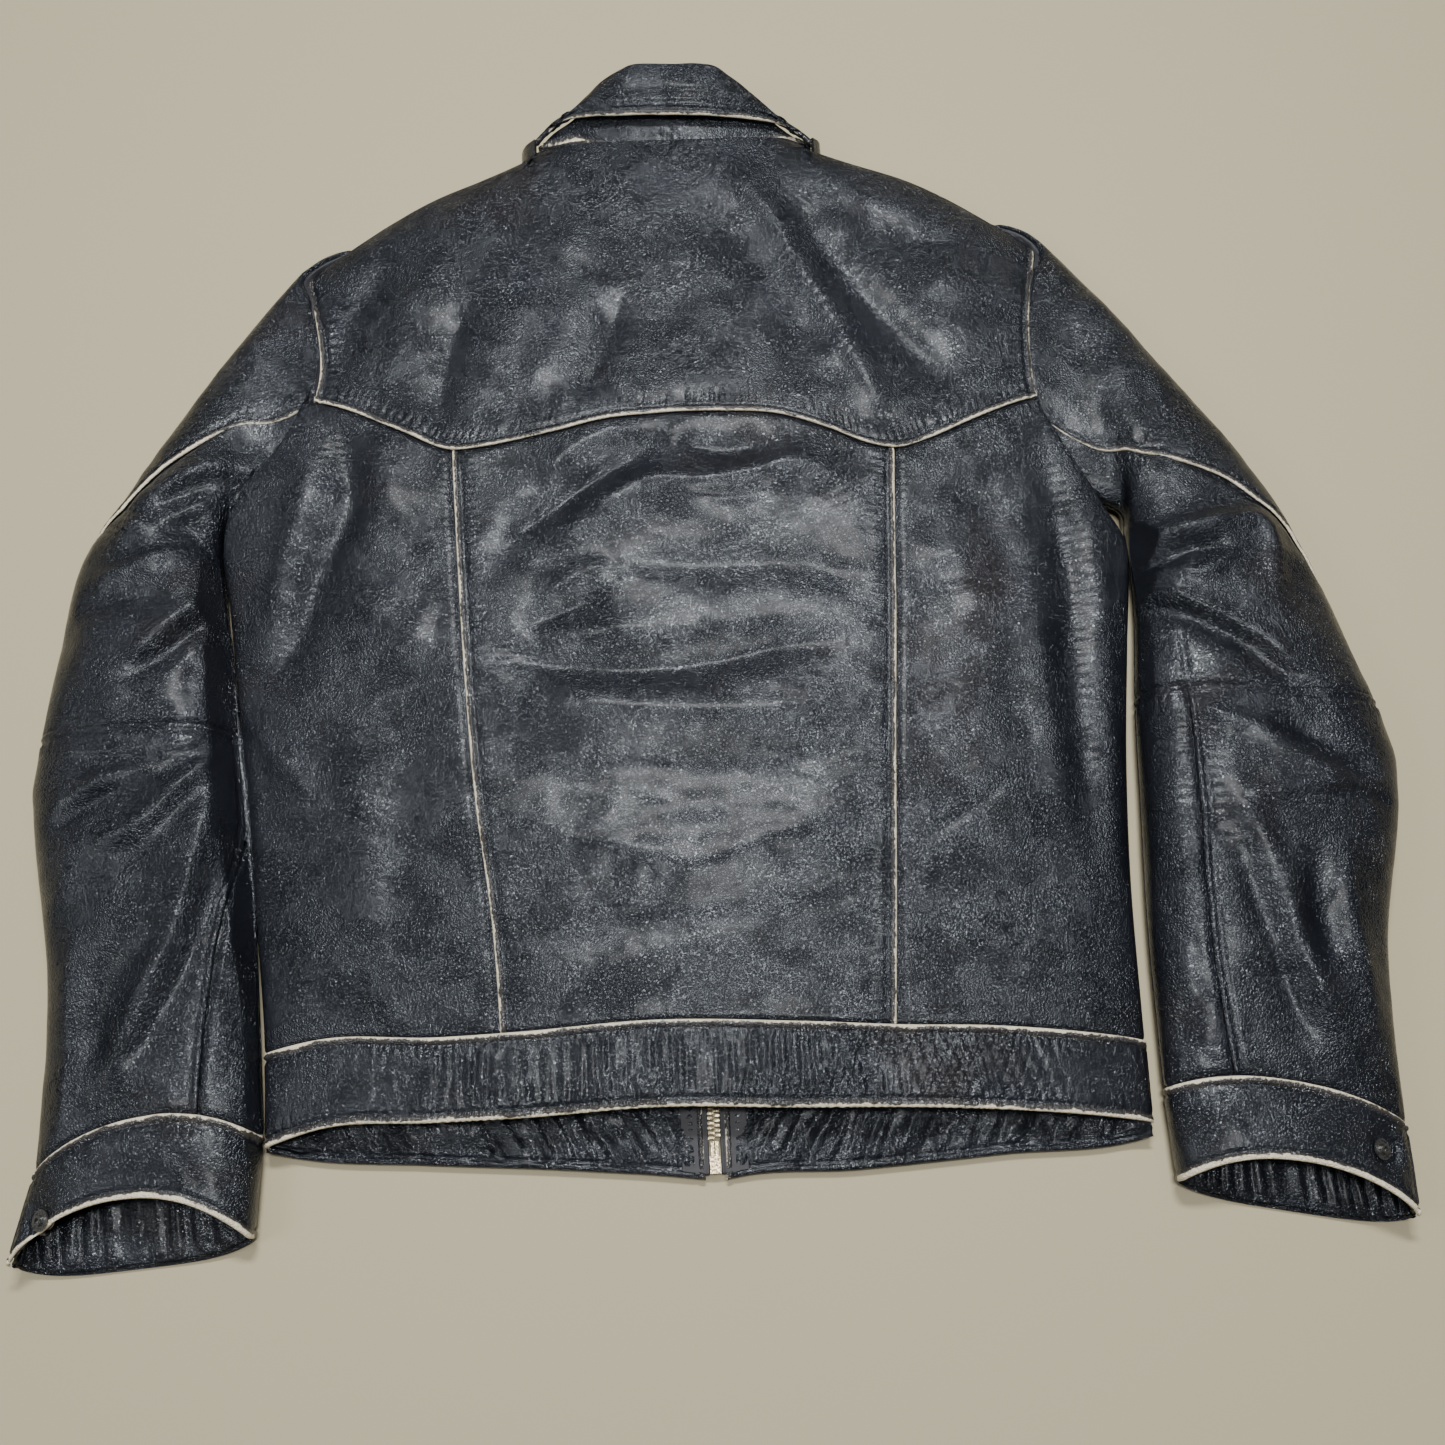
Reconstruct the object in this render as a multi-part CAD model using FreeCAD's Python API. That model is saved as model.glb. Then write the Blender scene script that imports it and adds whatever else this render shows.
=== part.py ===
"""Leather welding jacket, zipped up and laid face down: the fronts lie on the surface, the back is on top.

Millimetres. +Z is up, out of the back. +Y points to the collar and -Y to the hem. +X is the wearer's right.
The shell is leather with a thin lining inside.
Each cut piece of leather, lining, tape and metal is its own solid.
"""
import FreeCAD
import Part
import math
import os

V = FreeCAD.Vector

# ---- driving dimensions -------------------------------------------------------------------------------
LEATHER = 1.3            # shell leather
LINING = 0.6             # lining cloth
SEAM_GAP = 0.4           # daylight between two pieces that meet at a seam
FACING = 1.2             # lighter leather used for facings
BAND_THICK = 3.2         # waistband: two leathers and an interlining
HEM_BACK = -314.0        # lower edge of the back waistband
HEM_FRONT = -346.0       # lower edge of the front waistband
BAND_TOP = -270.0        # waistband seam on the back
BAND_TOP_FRONT = -302.0  # waistband seam on the fronts
YOKE_SEAM = [(-240, 129), (-138, 90), (-70, 110), (0, 117), (70, 110), (138, 90), (240, 129)]
PANEL_SEAM = [(138.1, 90), (124, -80), (108, -274)]
COLLAR_THICK = 2.4
PLACKET_EDGE = 5.5       # leather edge to the middle of the zip
PLACKET_WIDTH = 14.0
PLACKET_THICK = 4.4
TOOTH_PITCH = 2.6
TOOTH_LENGTH = 1.15
CHAIN_HALF = 3.0
CHAIN_LOW, CHAIN_HIGH = 3.7, 6.3
CHAIN_BOTTOM, CHAIN_TOP = -326.0, 228.0
TAPE_LOW, TAPE_HIGH = 4.7, 5.3
CENTRE_SHIFT = V(0, 6.0, 0)   # puts the origin under the middle of the whole jacket

# half width of the body against its length, from the hem up over the armhole to the neck point
HALF_WIDTH = [(-346, 239), (-314, 241), (-250, 247), (-150, 256), (-70, 266), (0, 271), (30, 268),
              (60, 252), (125, 229), (235, 236), (288, 170), (322, 92)]
# height of the back in the middle, and of its side edge
BACK_HIGH = [(-314, 30), (-150, 32), (100, 32), (235, 34), (322, 36)]
SIDE_HIGH = [(-314, 12), (0, 13), (30, 20), (60, 26), (200, 27), (235, 18), (250, 13), (322, 13)]
# height that the fronts curve up to, and the lift that the collar leaves under them give
FRONT_EDGE_HIGH = [(-346, 8.8), (-285, 10.4), (0, 11.4), (30, 8), (60, 3), (200, 3), (235, 13.0), (250, 10.4),
                   (322, 10.4)]
FRONT_LIFT = [(150, 0), (178, 3.2)]
FRONT_CURL = 22.0        # width of the curl where a front turns up to the side seam

# one sleeve in plan, as seen on the wearer's right: outer fold, inner fold, height
ARMHOLE_STATIONS = [((205, 255), (255, 52), 29), ((239, 240), (267, 40), 30), ((304, 135), (273, 25), 38),
                    ((347, 55), (275, 8), 42), ((375, -12), (273, -25), 44), ((390, -68), (270, -74), 44)]
FOREARM_STATIONS = [((391, -90), (268, -80.5), 44), ((392, -140), (262, -138), 44),
                    ((380, -215), (255, -205), 40), ((360, -325), (245, -308), 34)]
CUFF_STATIONS = [((360.3, -325.8), (245, -308.8), 34), ((363, -350), (246.5, -338), 34),
                 ((366, -380), (248, -367), 34)]
OVERARM_SEAM = [82, 88, 68, 12, -12, -14]         # degrees round the sleeve, from its outer fold over the top
FOREARM_OVER_SEAM = [-14, -14, -16, -18]
FOREARM_UNDER_SEAM = [134, 129, 121, 114]
SEAM_TURN = 0.5          # degrees that each cut of a sleeve stops short of its seam
SLEEVE_MID = 12.0        # height of the sleeve's folds above the floor
FLOOR_CLEAR = 0.2        # the sleeves lie this far clear of the plane that the fronts lie on


def along(table, at):
    """Straight-line interpolation in a table of (where, value) pairs."""
    if at <= table[0][0]:
        return table[0][1]
    for (x0, y0), (x1, y1) in zip(table, table[1:]):
        if at <= x1:
            return y0 + (y1 - y0) * (at - x0) / (x1 - x0)
    return table[-1][1]


def spline(points):
    """A smooth edge through the points, with the same knots whatever their spacing."""
    curve = Part.BSplineCurve()
    curve.interpolate(Points=points, Parameters=[i / (len(points) - 1) for i in range(len(points))])
    return curve.toShape()


def offset(points, distance):
    """A 2-D run of points moved to its left by distance."""
    moved = []
    for i, (a, z) in enumerate(points):
        a0, z0 = points[max(i - 1, 0)]
        a1, z1 = points[min(i + 1, len(points) - 1)]
        length = math.hypot(a1 - a0, z1 - z0)
        moved.append((a - (z1 - z0) / length * distance, z + (a1 - a0) / length * distance))
    return moved


def strip(points, inset, thickness, place):
    """A thin closed outline along 2-D points, its faces inset and inset + thickness to their left."""
    outer = [place(*p) for p in (offset(points, inset) if inset else points)]
    inner = [place(*p) for p in offset(points, inset + thickness)][::-1]
    ends = [Part.makeLine(outer[-1], inner[0]), Part.makeLine(inner[-1], outer[0])]
    return Part.Wire([spline(outer), ends[0], spline(inner), ends[1]])


def loft(wires):
    solid = Part.makeLoft(wires, True, True)
    if solid.Volume < 0:
        solid.reverse()
    return solid


def prism(outline, low, high):
    """An upright block on a plan outline."""
    points = [V(x, y, low) for x, y in outline]
    return Part.Face(Part.makePolygon(points + points[:1])).extrude(V(0, 0, high - low))


def block(x0, x1, y0, y1, z0, z1):
    return Part.makeBox(x1 - x0, y1 - y0, z1 - z0, V(x0, y0, z0))


def blade(route, width=SEAM_GAP, low=-5, high=80):
    """A thin upright blade along a plan route, mitred where the route turns."""
    left, right = [], []
    for i, (x, y) in enumerate(route):
        ways = [(route[j + 1][0] - route[j][0], route[j + 1][1] - route[j][1]) for j in (i - 1, i)
                if 0 <= j < len(route) - 1]
        normals = [(-dy / math.hypot(dx, dy), dx / math.hypot(dx, dy)) for dx, dy in ways]
        nx, ny = sum(n[0] for n in normals), sum(n[1] for n in normals)
        reach = width / 2 * len(normals) / (nx * nx + ny * ny)
        left.append((x + nx * reach, y + ny * reach))
        right.append((x - nx * reach, y - ny * reach))
    return prism(left + right[::-1], low, high)


def mirrored(route):
    return [(-x, y) for x, y in route]


def save(name, shape):
    moved = shape.copy()
    moved.translate(CENTRE_SHIFT)
    solids = moved.Solids
    bad = [s for s in solids if not s.isValid() or s.Volume <= 0]
    box = moved.BoundBox
    print(f"{name:26s} solids {len(solids)} volume {moved.Volume:9.0f}  x {box.XMin:7.1f} {box.XMax:7.1f}"
          f"  y {box.YMin:7.1f} {box.YMax:7.1f}  z {box.ZMin:5.1f} {box.ZMax:5.1f}"
          f"{'  BAD' if bad or not solids else ''}")
    Part.makeCompound(solids).exportStep(f"parts/{name}.step")


# ---- the back: an arched shell cut into yoke, centre and side panels ------------------------------------
ARCH = [-90, -83, -74, -62, -46, -25, 0, 25, 46, 62, 74, 83, 90]


def arch_points(y, drop=0.0, narrow=0.0):
    """Section of the back, from the left side edge over the middle to the right one."""
    half = along(HALF_WIDTH, y) - narrow
    side = along(SIDE_HIGH, y) - drop * 0.5
    rise = along(BACK_HIGH, y) - drop - side
    turn = [math.radians(a) for a in ARCH]
    return [(half * math.sin(t), side + rise * max(0.0, math.cos(t)) ** 0.6) for t in turn]


def arch_shell(stations, thickness, drop=0.0, narrow=0.0):
    wires = [strip(arch_points(y, drop, narrow), 0, -thickness, lambda x, z, y=y: V(x, y, z))
             for y in stations]
    return loft(wires)


def build_back():
    stations = [BAND_TOP + SEAM_GAP, -200, -120, -70, 0, 30, 60, 90, 125, 180, 235, 262, 288, 305, 317.5]
    shell = arch_shell(stations, LEATHER)
    pieces = shell.cut([blade(YOKE_SEAM), blade(PANEL_SEAM), blade(mirrored(PANEL_SEAM))]).Solids
    named = {}
    for piece in pieces:
        if piece.Volume < 500:
            continue
        centre = piece.BoundBox.Center
        if centre.y > 150:
            named["back_yoke"] = piece
        elif abs(centre.x) < 40:
            named["back_centre_panel"] = piece
        else:
            named["back_side_panel_left" if centre.x < 0 else "back_side_panel_right"] = piece
    for name, piece in named.items():
        save(name, piece)
    save("waistband_back", arch_shell([HEM_BACK, -292, BAND_TOP], BAND_THICK))
    save("back_lining", arch_shell([-266, -200, -120, -70, 0, 30, 60, 125, 180, 235, 268], LINING, 2.6, 3.6))
    save("neck_facing", arch_shell([269, 288, 305, 316], FACING, 2.6, 3.6))


# ---- the fronts: flat on the floor, curled up at the side to meet the back ------------------------------
CURL = [0, 32, 50, 67, 90]


def front_wire(y, side, thickness, raise_by, start, narrow=0.0, drop=0.0):
    """Section of a front as one outline: the curl from the side seam, then flat to start near the zip."""
    half = along(HALF_WIDTH, y) - narrow
    base = along(FRONT_LIFT, y)
    top = max(along(FRONT_EDGE_HIGH, y) - drop, base + 0.5)
    curl = [(half - FRONT_CURL + FRONT_CURL * math.cos(math.radians(a)),
             base + (top - base) * (1 - math.sin(math.radians(a)))) for a in CURL]
    outer = offset(curl, -raise_by) if raise_by else curl
    inner = offset(curl, -raise_by - thickness)
    outer[-1] = (half - FRONT_CURL, base + raise_by)
    inner[-1] = (half - FRONT_CURL, base + raise_by + thickness)
    low = [V(side * a, y, z) for a, z in outer]
    high = [V(side * a, y, z) for a, z in inner][::-1]
    low_end, high_end = V(side * start, y, outer[-1][1]), V(side * start, y, inner[-1][1])
    return Part.Wire([spline(low), Part.makeLine(low[-1], low_end), Part.makeLine(low_end, high_end),
                      Part.makeLine(high_end, high[0]), spline(high), Part.makeLine(high[-1], low[0])])


NECKLINE = [(-10, 238), (0, 238), (30, 246), (62, 272), (84, 303), (90, 323), (90, 345), (-10, 345)]
POCKET_MOUTH = [(203, -250), (168, -118)]
POCKET_BAG = [(120, -290), (212, -290), (216, -240), (176, -104), (120, -110)]
# where along the jacket the sections of the fronts and of their linings are taken
FRONT_STATIONS = [-200, -120, -70, 0, 30, 60, 90, 125, 150, 178, 235, 262, 288, 305, 320]
LINING_STATIONS = [-300, -200, -120, -70, 0, 30, 60, 125, 150, 178, 235, 262, 288, 300]


def side_name(side):
    return "left" if side < 0 else "right"


def build_front(side):
    name = side_name(side)
    flip = mirrored if side < 0 else list
    neck = prism(flip(NECKLINE), -5, 60)
    stations = [BAND_TOP_FRONT + SEAM_GAP] + FRONT_STATIONS
    panel = loft([front_wire(y, side, LEATHER, 0, PLACKET_EDGE + PLACKET_WIDTH - 2) for y in stations])
    edge_x = sorted((side * PLACKET_EDGE, side * (PLACKET_EDGE + PLACKET_WIDTH)))
    low_part = block(*edge_x, BAND_TOP_FRONT + SEAM_GAP, 165, 0, PLACKET_THICK)
    high_part = block(*edge_x, 165, 236, 3.2, PLACKET_THICK)
    panel = panel.cut(neck).cut(blade(flip(POCKET_MOUTH), 16.8)).fuse([low_part, high_part]).removeSplitter()
    save(f"front_panel_{name}", panel)
    save(f"pocket_welt_{name}", blade(flip([(202.6, -248.8), (168.4, -119.2)]), 16, 0, LEATHER))
    save(f"pocket_bag_{name}", prism(flip(POCKET_BAG), LEATHER + 0.3, LEATHER + 1.5))

    facing_x = sorted((side * 7.0, side * 60.0))
    facing = block(*facing_x, BAND_TOP_FRONT + SEAM_GAP, 236, 5.6, 5.6 + FACING)
    save(f"front_facing_{name}", facing.cut(neck))
    lining = loft([front_wire(y, side, LINING, 3.3, 60.6, 0.5, 3.4) for y in LINING_STATIONS])
    save(f"front_lining_{name}", lining.cut(neck))

    band_at = (HEM_FRONT, -324, BAND_TOP_FRONT)
    band = loft([front_wire(y, side, PLACKET_THICK, 0, PLACKET_EDGE) for y in band_at])
    save(f"waistband_front_{name}", band)


# ---- the sleeves ----------------------------------------------------------------------------------------
def sleeve_point(half, high, degrees):
    """A point of a sleeve's section: 0 is the outer fold, 90 the top, 180 the inner fold, -90 below."""
    c, s = math.cos(math.radians(degrees)), math.sin(math.radians(degrees))
    across = half * math.copysign(abs(c) ** 0.8, c)
    if s >= 0:
        return across, SLEEVE_MID + (high - SLEEVE_MID) * s ** 0.75
    return across, FLOOR_CLEAR + (SLEEVE_MID - FLOOR_CLEAR) * (1 - abs(s) ** 0.6)


def sleeve_wire(station, side, start, end, inset, thickness):
    """A strip round one section of the sleeve, from start to end degrees."""
    (ox, oy), (ix, iy), high = station
    half = math.hypot(ox - ix, oy - iy) / 2
    dx, dy = (ox - ix) / 2 / half, (oy - iy) / 2 / half
    steps = 32 if end - start > 250 else 28 if end - start > 100 else 12
    turn = [start + (end - start) * k / steps for k in range(steps + 1)]
    points = [sleeve_point(half, high, a) for a in turn]
    place = lambda a, z: V(side * ((ox + ix) / 2 + dx * a), (oy + iy) / 2 + dy * a, z)
    return strip(points, inset, thickness, place)


def between(a, b, t):
    """A value, or each number of a nested tuple of them, part of the way from a to b."""
    if isinstance(a, tuple):
        return tuple(between(p, q, t) for p, q in zip(a, b))
    return a + (b - a) * t


def sleeve_shell(stations, side, starts, ends, inset=0.0, thickness=LEATHER):
    """A strip of sleeve along its stations, with sections between them so that its seams run smoothly."""
    runs = list(zip(stations, starts, ends))
    fine = [between(a, b, k / 3) for a, b in zip(runs, runs[1:]) for k in range(3)] + [runs[-1]]
    return loft([sleeve_wire(s, side, a, b, inset, thickness) for s, a, b in fine])


def armhole_cutter(side):
    """The body's own ground in plan, up to the armhole seam, so that the sleeve starts at the seam."""
    seam = [(along(HALF_WIDTH, y) + 2 * SEAM_GAP, y) for y in (0, 30, 60, 125, 235)]
    outline = [(90, 0)] + seam + [(238, 300), (90, 300)]
    return prism(outline if side > 0 else mirrored(outline), -5, 60)


def shorten(stations, front=0.0, back=0.0):
    """The same run of stations with its first and last moved in by a distance, for the lining."""
    def slide(a, b, by):
        return between(a, b, by / math.hypot(a[0][0] - b[0][0], a[0][1] - b[0][1]))
    first, last = slide(stations[0], stations[1], front), slide(stations[-1], stations[-2], back)
    return [first] + stations[1:-1] + [last]


def build_sleeve(side):
    name = side_name(side)
    body = armhole_cutter(side)
    n = len(ARMHOLE_STATIONS)
    over = sleeve_shell(ARMHOLE_STATIONS, side, [-179] * n, [a - SEAM_TURN for a in OVERARM_SEAM])
    rear = sleeve_shell(ARMHOLE_STATIONS, side, [a + SEAM_TURN for a in OVERARM_SEAM], [179] * n)
    save(f"sleeve_over_{name}", over.cut(body))
    save(f"sleeve_rear_{name}", rear.cut(body))
    lining = sleeve_shell(ARMHOLE_STATIONS, side, [-170] * n, [170] * n, LEATHER + 1.0, LINING)
    save(f"sleeve_lining_{name}", lining.cut(body))

    m = len(FOREARM_STATIONS)
    front_to = [a - 1.6 for a in FOREARM_OVER_SEAM]
    save(f"forearm_front_{name}", sleeve_shell(FOREARM_STATIONS, side, [-179] * m, front_to))
    save(f"forearm_back_{name}", sleeve_shell(FOREARM_STATIONS, side, [a + 1.6 for a in FOREARM_OVER_SEAM],
                                              [a - SEAM_TURN for a in FOREARM_UNDER_SEAM]))
    under_from = [a + SEAM_TURN for a in FOREARM_UNDER_SEAM]
    save(f"forearm_under_{name}", sleeve_shell(FOREARM_STATIONS, side, under_from, [179.5] * m))
    save(f"forearm_lining_{name}", sleeve_shell(shorten(FOREARM_STATIONS, 2, 4), side, [-170] * m, [170] * m,
                                                LEATHER + 0.6, LINING))


# ---- cuffs and their snaps ------------------------------------------------------------------------------
# The cuff is unsnapped: its back end carries the stud on top, its front end curls up at the outer fold with
# the cap outside and the socket inside.
CUFF_ARCH = [(240, -372), (250, -360), (268, -349), (292, -343), (318, -347), (345, -362), (372, -379),
             (372, -395), (240, -395)]
CUFF_FROM, CUFF_TO = 24, 370
STUD_AT = (351.0, -351.0)
STUD_LEAN = 0.52         # sideways lean of the stud's axis, square to the cuff there
CAP_AT = (364.6, -354.0, 12.0)
STUD_RADIUS = 5.6
NIPPLE_RADIUS = 2.8
CAP_RADIUS = 6.3
DOME_CURVE = 14.0        # radius of the cap's shallow dome
POST_RADIUS = 1.1
RIVET_HOLE = 1.5


def cuff_height(x):
    """Height of the cuff's outer face on top, at a distance from the middle of the jacket."""
    (ox, oy), (ix, iy), high = CUFF_STATIONS[1]
    half = math.hypot(ox - ix, oy - iy) / 2
    across = x - (ox + ix) / 2
    degrees = math.degrees(math.acos((across / half) ** (1 / 0.8)))
    return sleeve_point(half, high, degrees)[1]


def build_cuff(side):
    name = side_name(side)
    arch = prism(CUFF_ARCH if side > 0 else mirrored(CUFF_ARCH), 19.5, 70)
    three = len(CUFF_STATIONS)
    band = sleeve_shell(CUFF_STATIONS, side, [CUFF_FROM] * three, [CUFF_TO] * three)
    facing_from, facing_to = [CUFF_FROM + 3] * three, [CUFF_TO - 3] * three
    facing = sleeve_shell(CUFF_STATIONS, side, facing_from, facing_to, LEATHER + 0.3, FACING)
    lean = V(side * STUD_LEAN, 0, 1).normalize()
    at = V(side * STUD_AT[0], STUD_AT[1], cuff_height(STUD_AT[0]))
    outward = V(side, 0, 0)
    cap_at = V(side * CAP_AT[0], CAP_AT[1], CAP_AT[2])
    holes = [Part.makeCylinder(RIVET_HOLE, 12, at - lean * 8, lean),
             Part.makeCylinder(RIVET_HOLE, 13, cap_at - outward * 10, outward)]
    save(f"cuff_{name}", band.cut(arch).cut(holes))
    save(f"cuff_facing_{name}", facing.cut(arch).cut(holes))
    # the stud: a ring with a hollow nipple, riveted through the back end of the cuff by its post
    flange = Part.makeCylinder(STUD_RADIUS, 0.9, at + lean * 0.6, lean)
    groove = Part.makeCylinder(4.5, 0.5, at + lean * 1.2, lean)
    groove = groove.cut(Part.makeCylinder(3.3, 0.5, at + lean * 1.2, lean))
    nipple = Part.makeCylinder(NIPPLE_RADIUS, 2.6, at + lean * 0.9, lean)
    nipple = nipple.cut(Part.makeCylinder(1.4, 4.0, at + lean * 0.9, lean))
    save(f"snap_stud_{name}", flange.cut(groove).fuse(nipple).removeSplitter())
    post = Part.makeCylinder(POST_RADIUS, 4.6, at - lean * 4.1, lean)
    save(f"snap_post_{name}", post.fuse(Part.makeCylinder(4.5, 0.7, at - lean * 4.4, lean)).removeSplitter())
    # the cap: a shallow dome with a post; its socket is a ring with a waist on the inner face
    dome = Part.makeSphere(DOME_CURVE, cap_at - outward * 11.2)
    dome = dome.common(Part.makeCylinder(CAP_RADIUS, 8, cap_at + outward * 0.6, outward))
    cap_post = Part.makeCylinder(POST_RADIUS, 8.0, cap_at - outward * 7.2, outward)
    save(f"snap_cap_{name}", dome.fuse(cap_post).removeSplitter())
    seat = cap_at - outward * 10.2
    ring = Part.makeCylinder(4.0, 2.8, seat, outward).cut(Part.makeCylinder(2.7, 2.2, seat, outward))
    save(f"snap_socket_{name}", ring.cut(Part.makeCylinder(1.4, 4, seat, outward)))


# ---- the collar -----------------------------------------------------------------------------------------
# neck seam, roll line and leaf edge from the centre back round to the centre front, on the wearer's right
COLLAR_BACK = [((0, 318.6, 33), (0, 368, 50), (0, 334, 41)),
               ((30, 319, 33), (29, 367, 50), (33, 334, 41)),
               ((64, 321, 31.5), (57, 351, 43), (65, 334, 38.5)),
               ((84, 323, 27), (80, 336, 32), (86, 333, 30))]
# the leaf's upturn beside the neck, in section: from the leaf up to the end of the fall
COLLAR_TURN = [(86, 1.5), (91, 1.5), (97, 8), (98, 18), (90, 29), (86, 27.5), (93, 17.5), (92, 9)]
LEAF = [(86, 330), (92, 330), (96, 316), (74, 262), (58, 200), (20, 196), (12, 240), (34, 250), (60, 272),
        (80, 304)]


def collar_wire(low, high, side, lift):
    """An upright section between two lines of the collar, thick enough for two leathers."""
    a, b = V(side * low[0], low[1], low[2] + lift), V(side * high[0], high[1], high[2] + lift)
    up = V(0, 0, COLLAR_THICK)
    return Part.makePolygon([a, b, b + up, a + up, a])


def build_collar():
    right = COLLAR_BACK[::-1]
    left = COLLAR_BACK[1:]
    stand = [collar_wire(n, r, 1, 0) for n, r, e in right] + [collar_wire(n, r, -1, 0) for n, r, e in left]
    save("collar_stand", loft(stand))
    fall = [collar_wire(e, r, 1, COLLAR_THICK + 0.5) for n, r, e in right]
    fall += [collar_wire(e, r, -1, COLLAR_THICK + 0.5) for n, r, e in left]
    save("collar_fall", loft(fall))
    for side in (-1, 1):
        flip = mirrored if side < 0 else list
        leaf = prism(flip(LEAF), 0, 2.6)
        turn = Part.makePolygon([V(side * x, 322, z) for x, z in COLLAR_TURN + COLLAR_TURN[:1]])
        upturn = Part.Face(turn).extrude(V(0, 8, 0))
        save(f"collar_leaf_{side_name(side)}", leaf.fuse(upturn).removeSplitter())
    loop_line = [(-36, 27.4), (-30, 27.0), (-20, 23.6), (0, 21.6), (20, 23.6), (30, 27.0), (36, 27.4)]
    loop = loft([strip(loop_line, 0, 1.2, lambda x, z, y=y: V(x, y, z)) for y in (300, 307)])
    save("hanger_loop", loop)


# ---- the zip --------------------------------------------------------------------------------------------
def build_zip():
    count = int((CHAIN_TOP - CHAIN_BOTTOM) / TOOTH_PITCH)
    for side in (-1, 1):
        start = CHAIN_BOTTOM + (TOOTH_PITCH / 2 if side > 0 else 0)
        xs = sorted((side * CHAIN_HALF, -side * 0.5))
        rows = [start + k * TOOTH_PITCH for k in range(count)]
        teeth = [block(*xs, y, y + TOOTH_LENGTH, CHAIN_LOW, CHAIN_HIGH) for y in rows]
        save(f"zip_teeth_{side_name(side)}", Part.makeCompound(teeth))
        tape = block(*sorted((side * (CHAIN_HALF + 0.1), side * 18.0)), -344.5, 236, TAPE_LOW, TAPE_HIGH)
        save(f"zip_tape_{side_name(side)}", tape)
    stop_x = [sorted((side * 0.8, side * CHAIN_HALF)) for side in (-1, 1)]
    stops = [block(*xs, 236.4, 239.4, CHAIN_LOW, CHAIN_HIGH) for xs in stop_x]
    save("zip_top_stops", Part.makeCompound(stops))
    box = block(-2.95, 2.95, -344, -335, 3.3, 6.7).cut(block(0.2, 2.1, -342.7, -330, 4.2, 5.8))
    fixed_pin = block(-2.1, -0.4, -335.5, -327.2, 4.35, 5.65)
    save("zip_retainer_box", box.fuse(fixed_pin).removeSplitter())
    save("zip_insertion_pin", block(0.35, 1.95, -342.4, -327.2, 4.35, 5.65))
    # the slider: two plates with lips that leave a slot for the tape each side
    plates = []
    for low, high, lip in ((2.5, 3.4, (3.4, 4.3)), (6.6, 7.5, (5.7, 6.6))):
        plate = block(-4.8, 4.8, 222, 234, low, high)
        for side in (-1, 1):
            plate = plate.fuse(block(*sorted((side * 3.5, side * 4.8)), 222, 234, *lip))
        plates.append(plate.removeSplitter())
    lug = block(-0.9, 0.9, 226.0, 229.0, 0.35, 2.5)
    lug = lug.cut(Part.makeCylinder(0.66, 4, V(-2, 227.5, 1.25), V(1, 0, 0)))
    plates[0] = plates[0].fuse(lug).removeSplitter()
    save("zip_slider", Part.makeCompound(plates))
    pull = block(-2.6, 2.6, 200, 228.4, 0.7, 1.8).cut(block(-1.15, 1.15, 225.6, 228.4, 0, 3))
    pull = pull.cut(Part.makeCylinder(1.2, 4, V(0, 204, 0)))
    pull = pull.fuse(Part.makeCylinder(0.6, 5.0, V(-2.5, 227.5, 1.25), V(1, 0, 0))).removeSplitter()
    save("zip_pull", pull)


os.makedirs("parts", exist_ok=True)
build_back()
for hand in (-1, 1):
    build_front(hand)
    build_sleeve(hand)
    build_cuff(hand)
build_collar()
build_zip()
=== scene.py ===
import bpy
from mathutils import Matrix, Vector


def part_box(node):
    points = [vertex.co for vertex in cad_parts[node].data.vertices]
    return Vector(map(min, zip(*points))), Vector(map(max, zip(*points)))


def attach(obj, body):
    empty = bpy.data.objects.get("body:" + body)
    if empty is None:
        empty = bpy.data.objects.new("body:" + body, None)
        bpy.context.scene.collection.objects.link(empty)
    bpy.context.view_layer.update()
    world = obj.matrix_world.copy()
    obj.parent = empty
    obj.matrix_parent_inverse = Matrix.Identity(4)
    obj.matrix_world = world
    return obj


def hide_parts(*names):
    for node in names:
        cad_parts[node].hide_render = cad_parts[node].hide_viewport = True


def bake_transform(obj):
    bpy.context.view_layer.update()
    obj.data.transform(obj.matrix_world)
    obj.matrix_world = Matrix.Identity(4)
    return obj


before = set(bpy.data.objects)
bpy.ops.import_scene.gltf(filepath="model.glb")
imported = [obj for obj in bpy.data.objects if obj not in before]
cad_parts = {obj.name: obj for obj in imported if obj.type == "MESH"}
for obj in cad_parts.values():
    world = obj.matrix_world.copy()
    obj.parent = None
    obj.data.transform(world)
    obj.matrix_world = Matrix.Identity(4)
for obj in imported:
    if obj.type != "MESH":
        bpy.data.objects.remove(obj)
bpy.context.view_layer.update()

import bpy
import numpy as np
from mathutils import Vector

# ---- Back centre panel ----------------------------------------------------------------------------------
# A single cut of hide between the two long back seams. Its side edges are folded under and topstitched over
# the side panels, and the dye has rubbed off along the folds so the pale hide shows. Lengths are millimetres.
CROWN_HIGH = [(-320, 28), (-260, 31), (-150, 32), (100, 33), (240, 35), (330, 37)]
SIDE_HIGH = [(-320, 12), (-10, 12.5), (20, 15), (50, 23), (80, 28), (115, 30), (150, 29), (200, 25),
             (228, 19),
             (244, 14), (270, 12.5), (330, 12)]
LEFT_HALF = [(-320, 241), (-266, 244), (-176, 255), (-129, 261), (-64, 270), (0, 278), (40, 283), (62, 280),
             (85, 268), (108, 251), (141, 237), (172, 234.5), (195, 234), (218, 235), (241, 239), (268, 208),
             (294, 170), (314, 124), (329, 92)]
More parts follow.
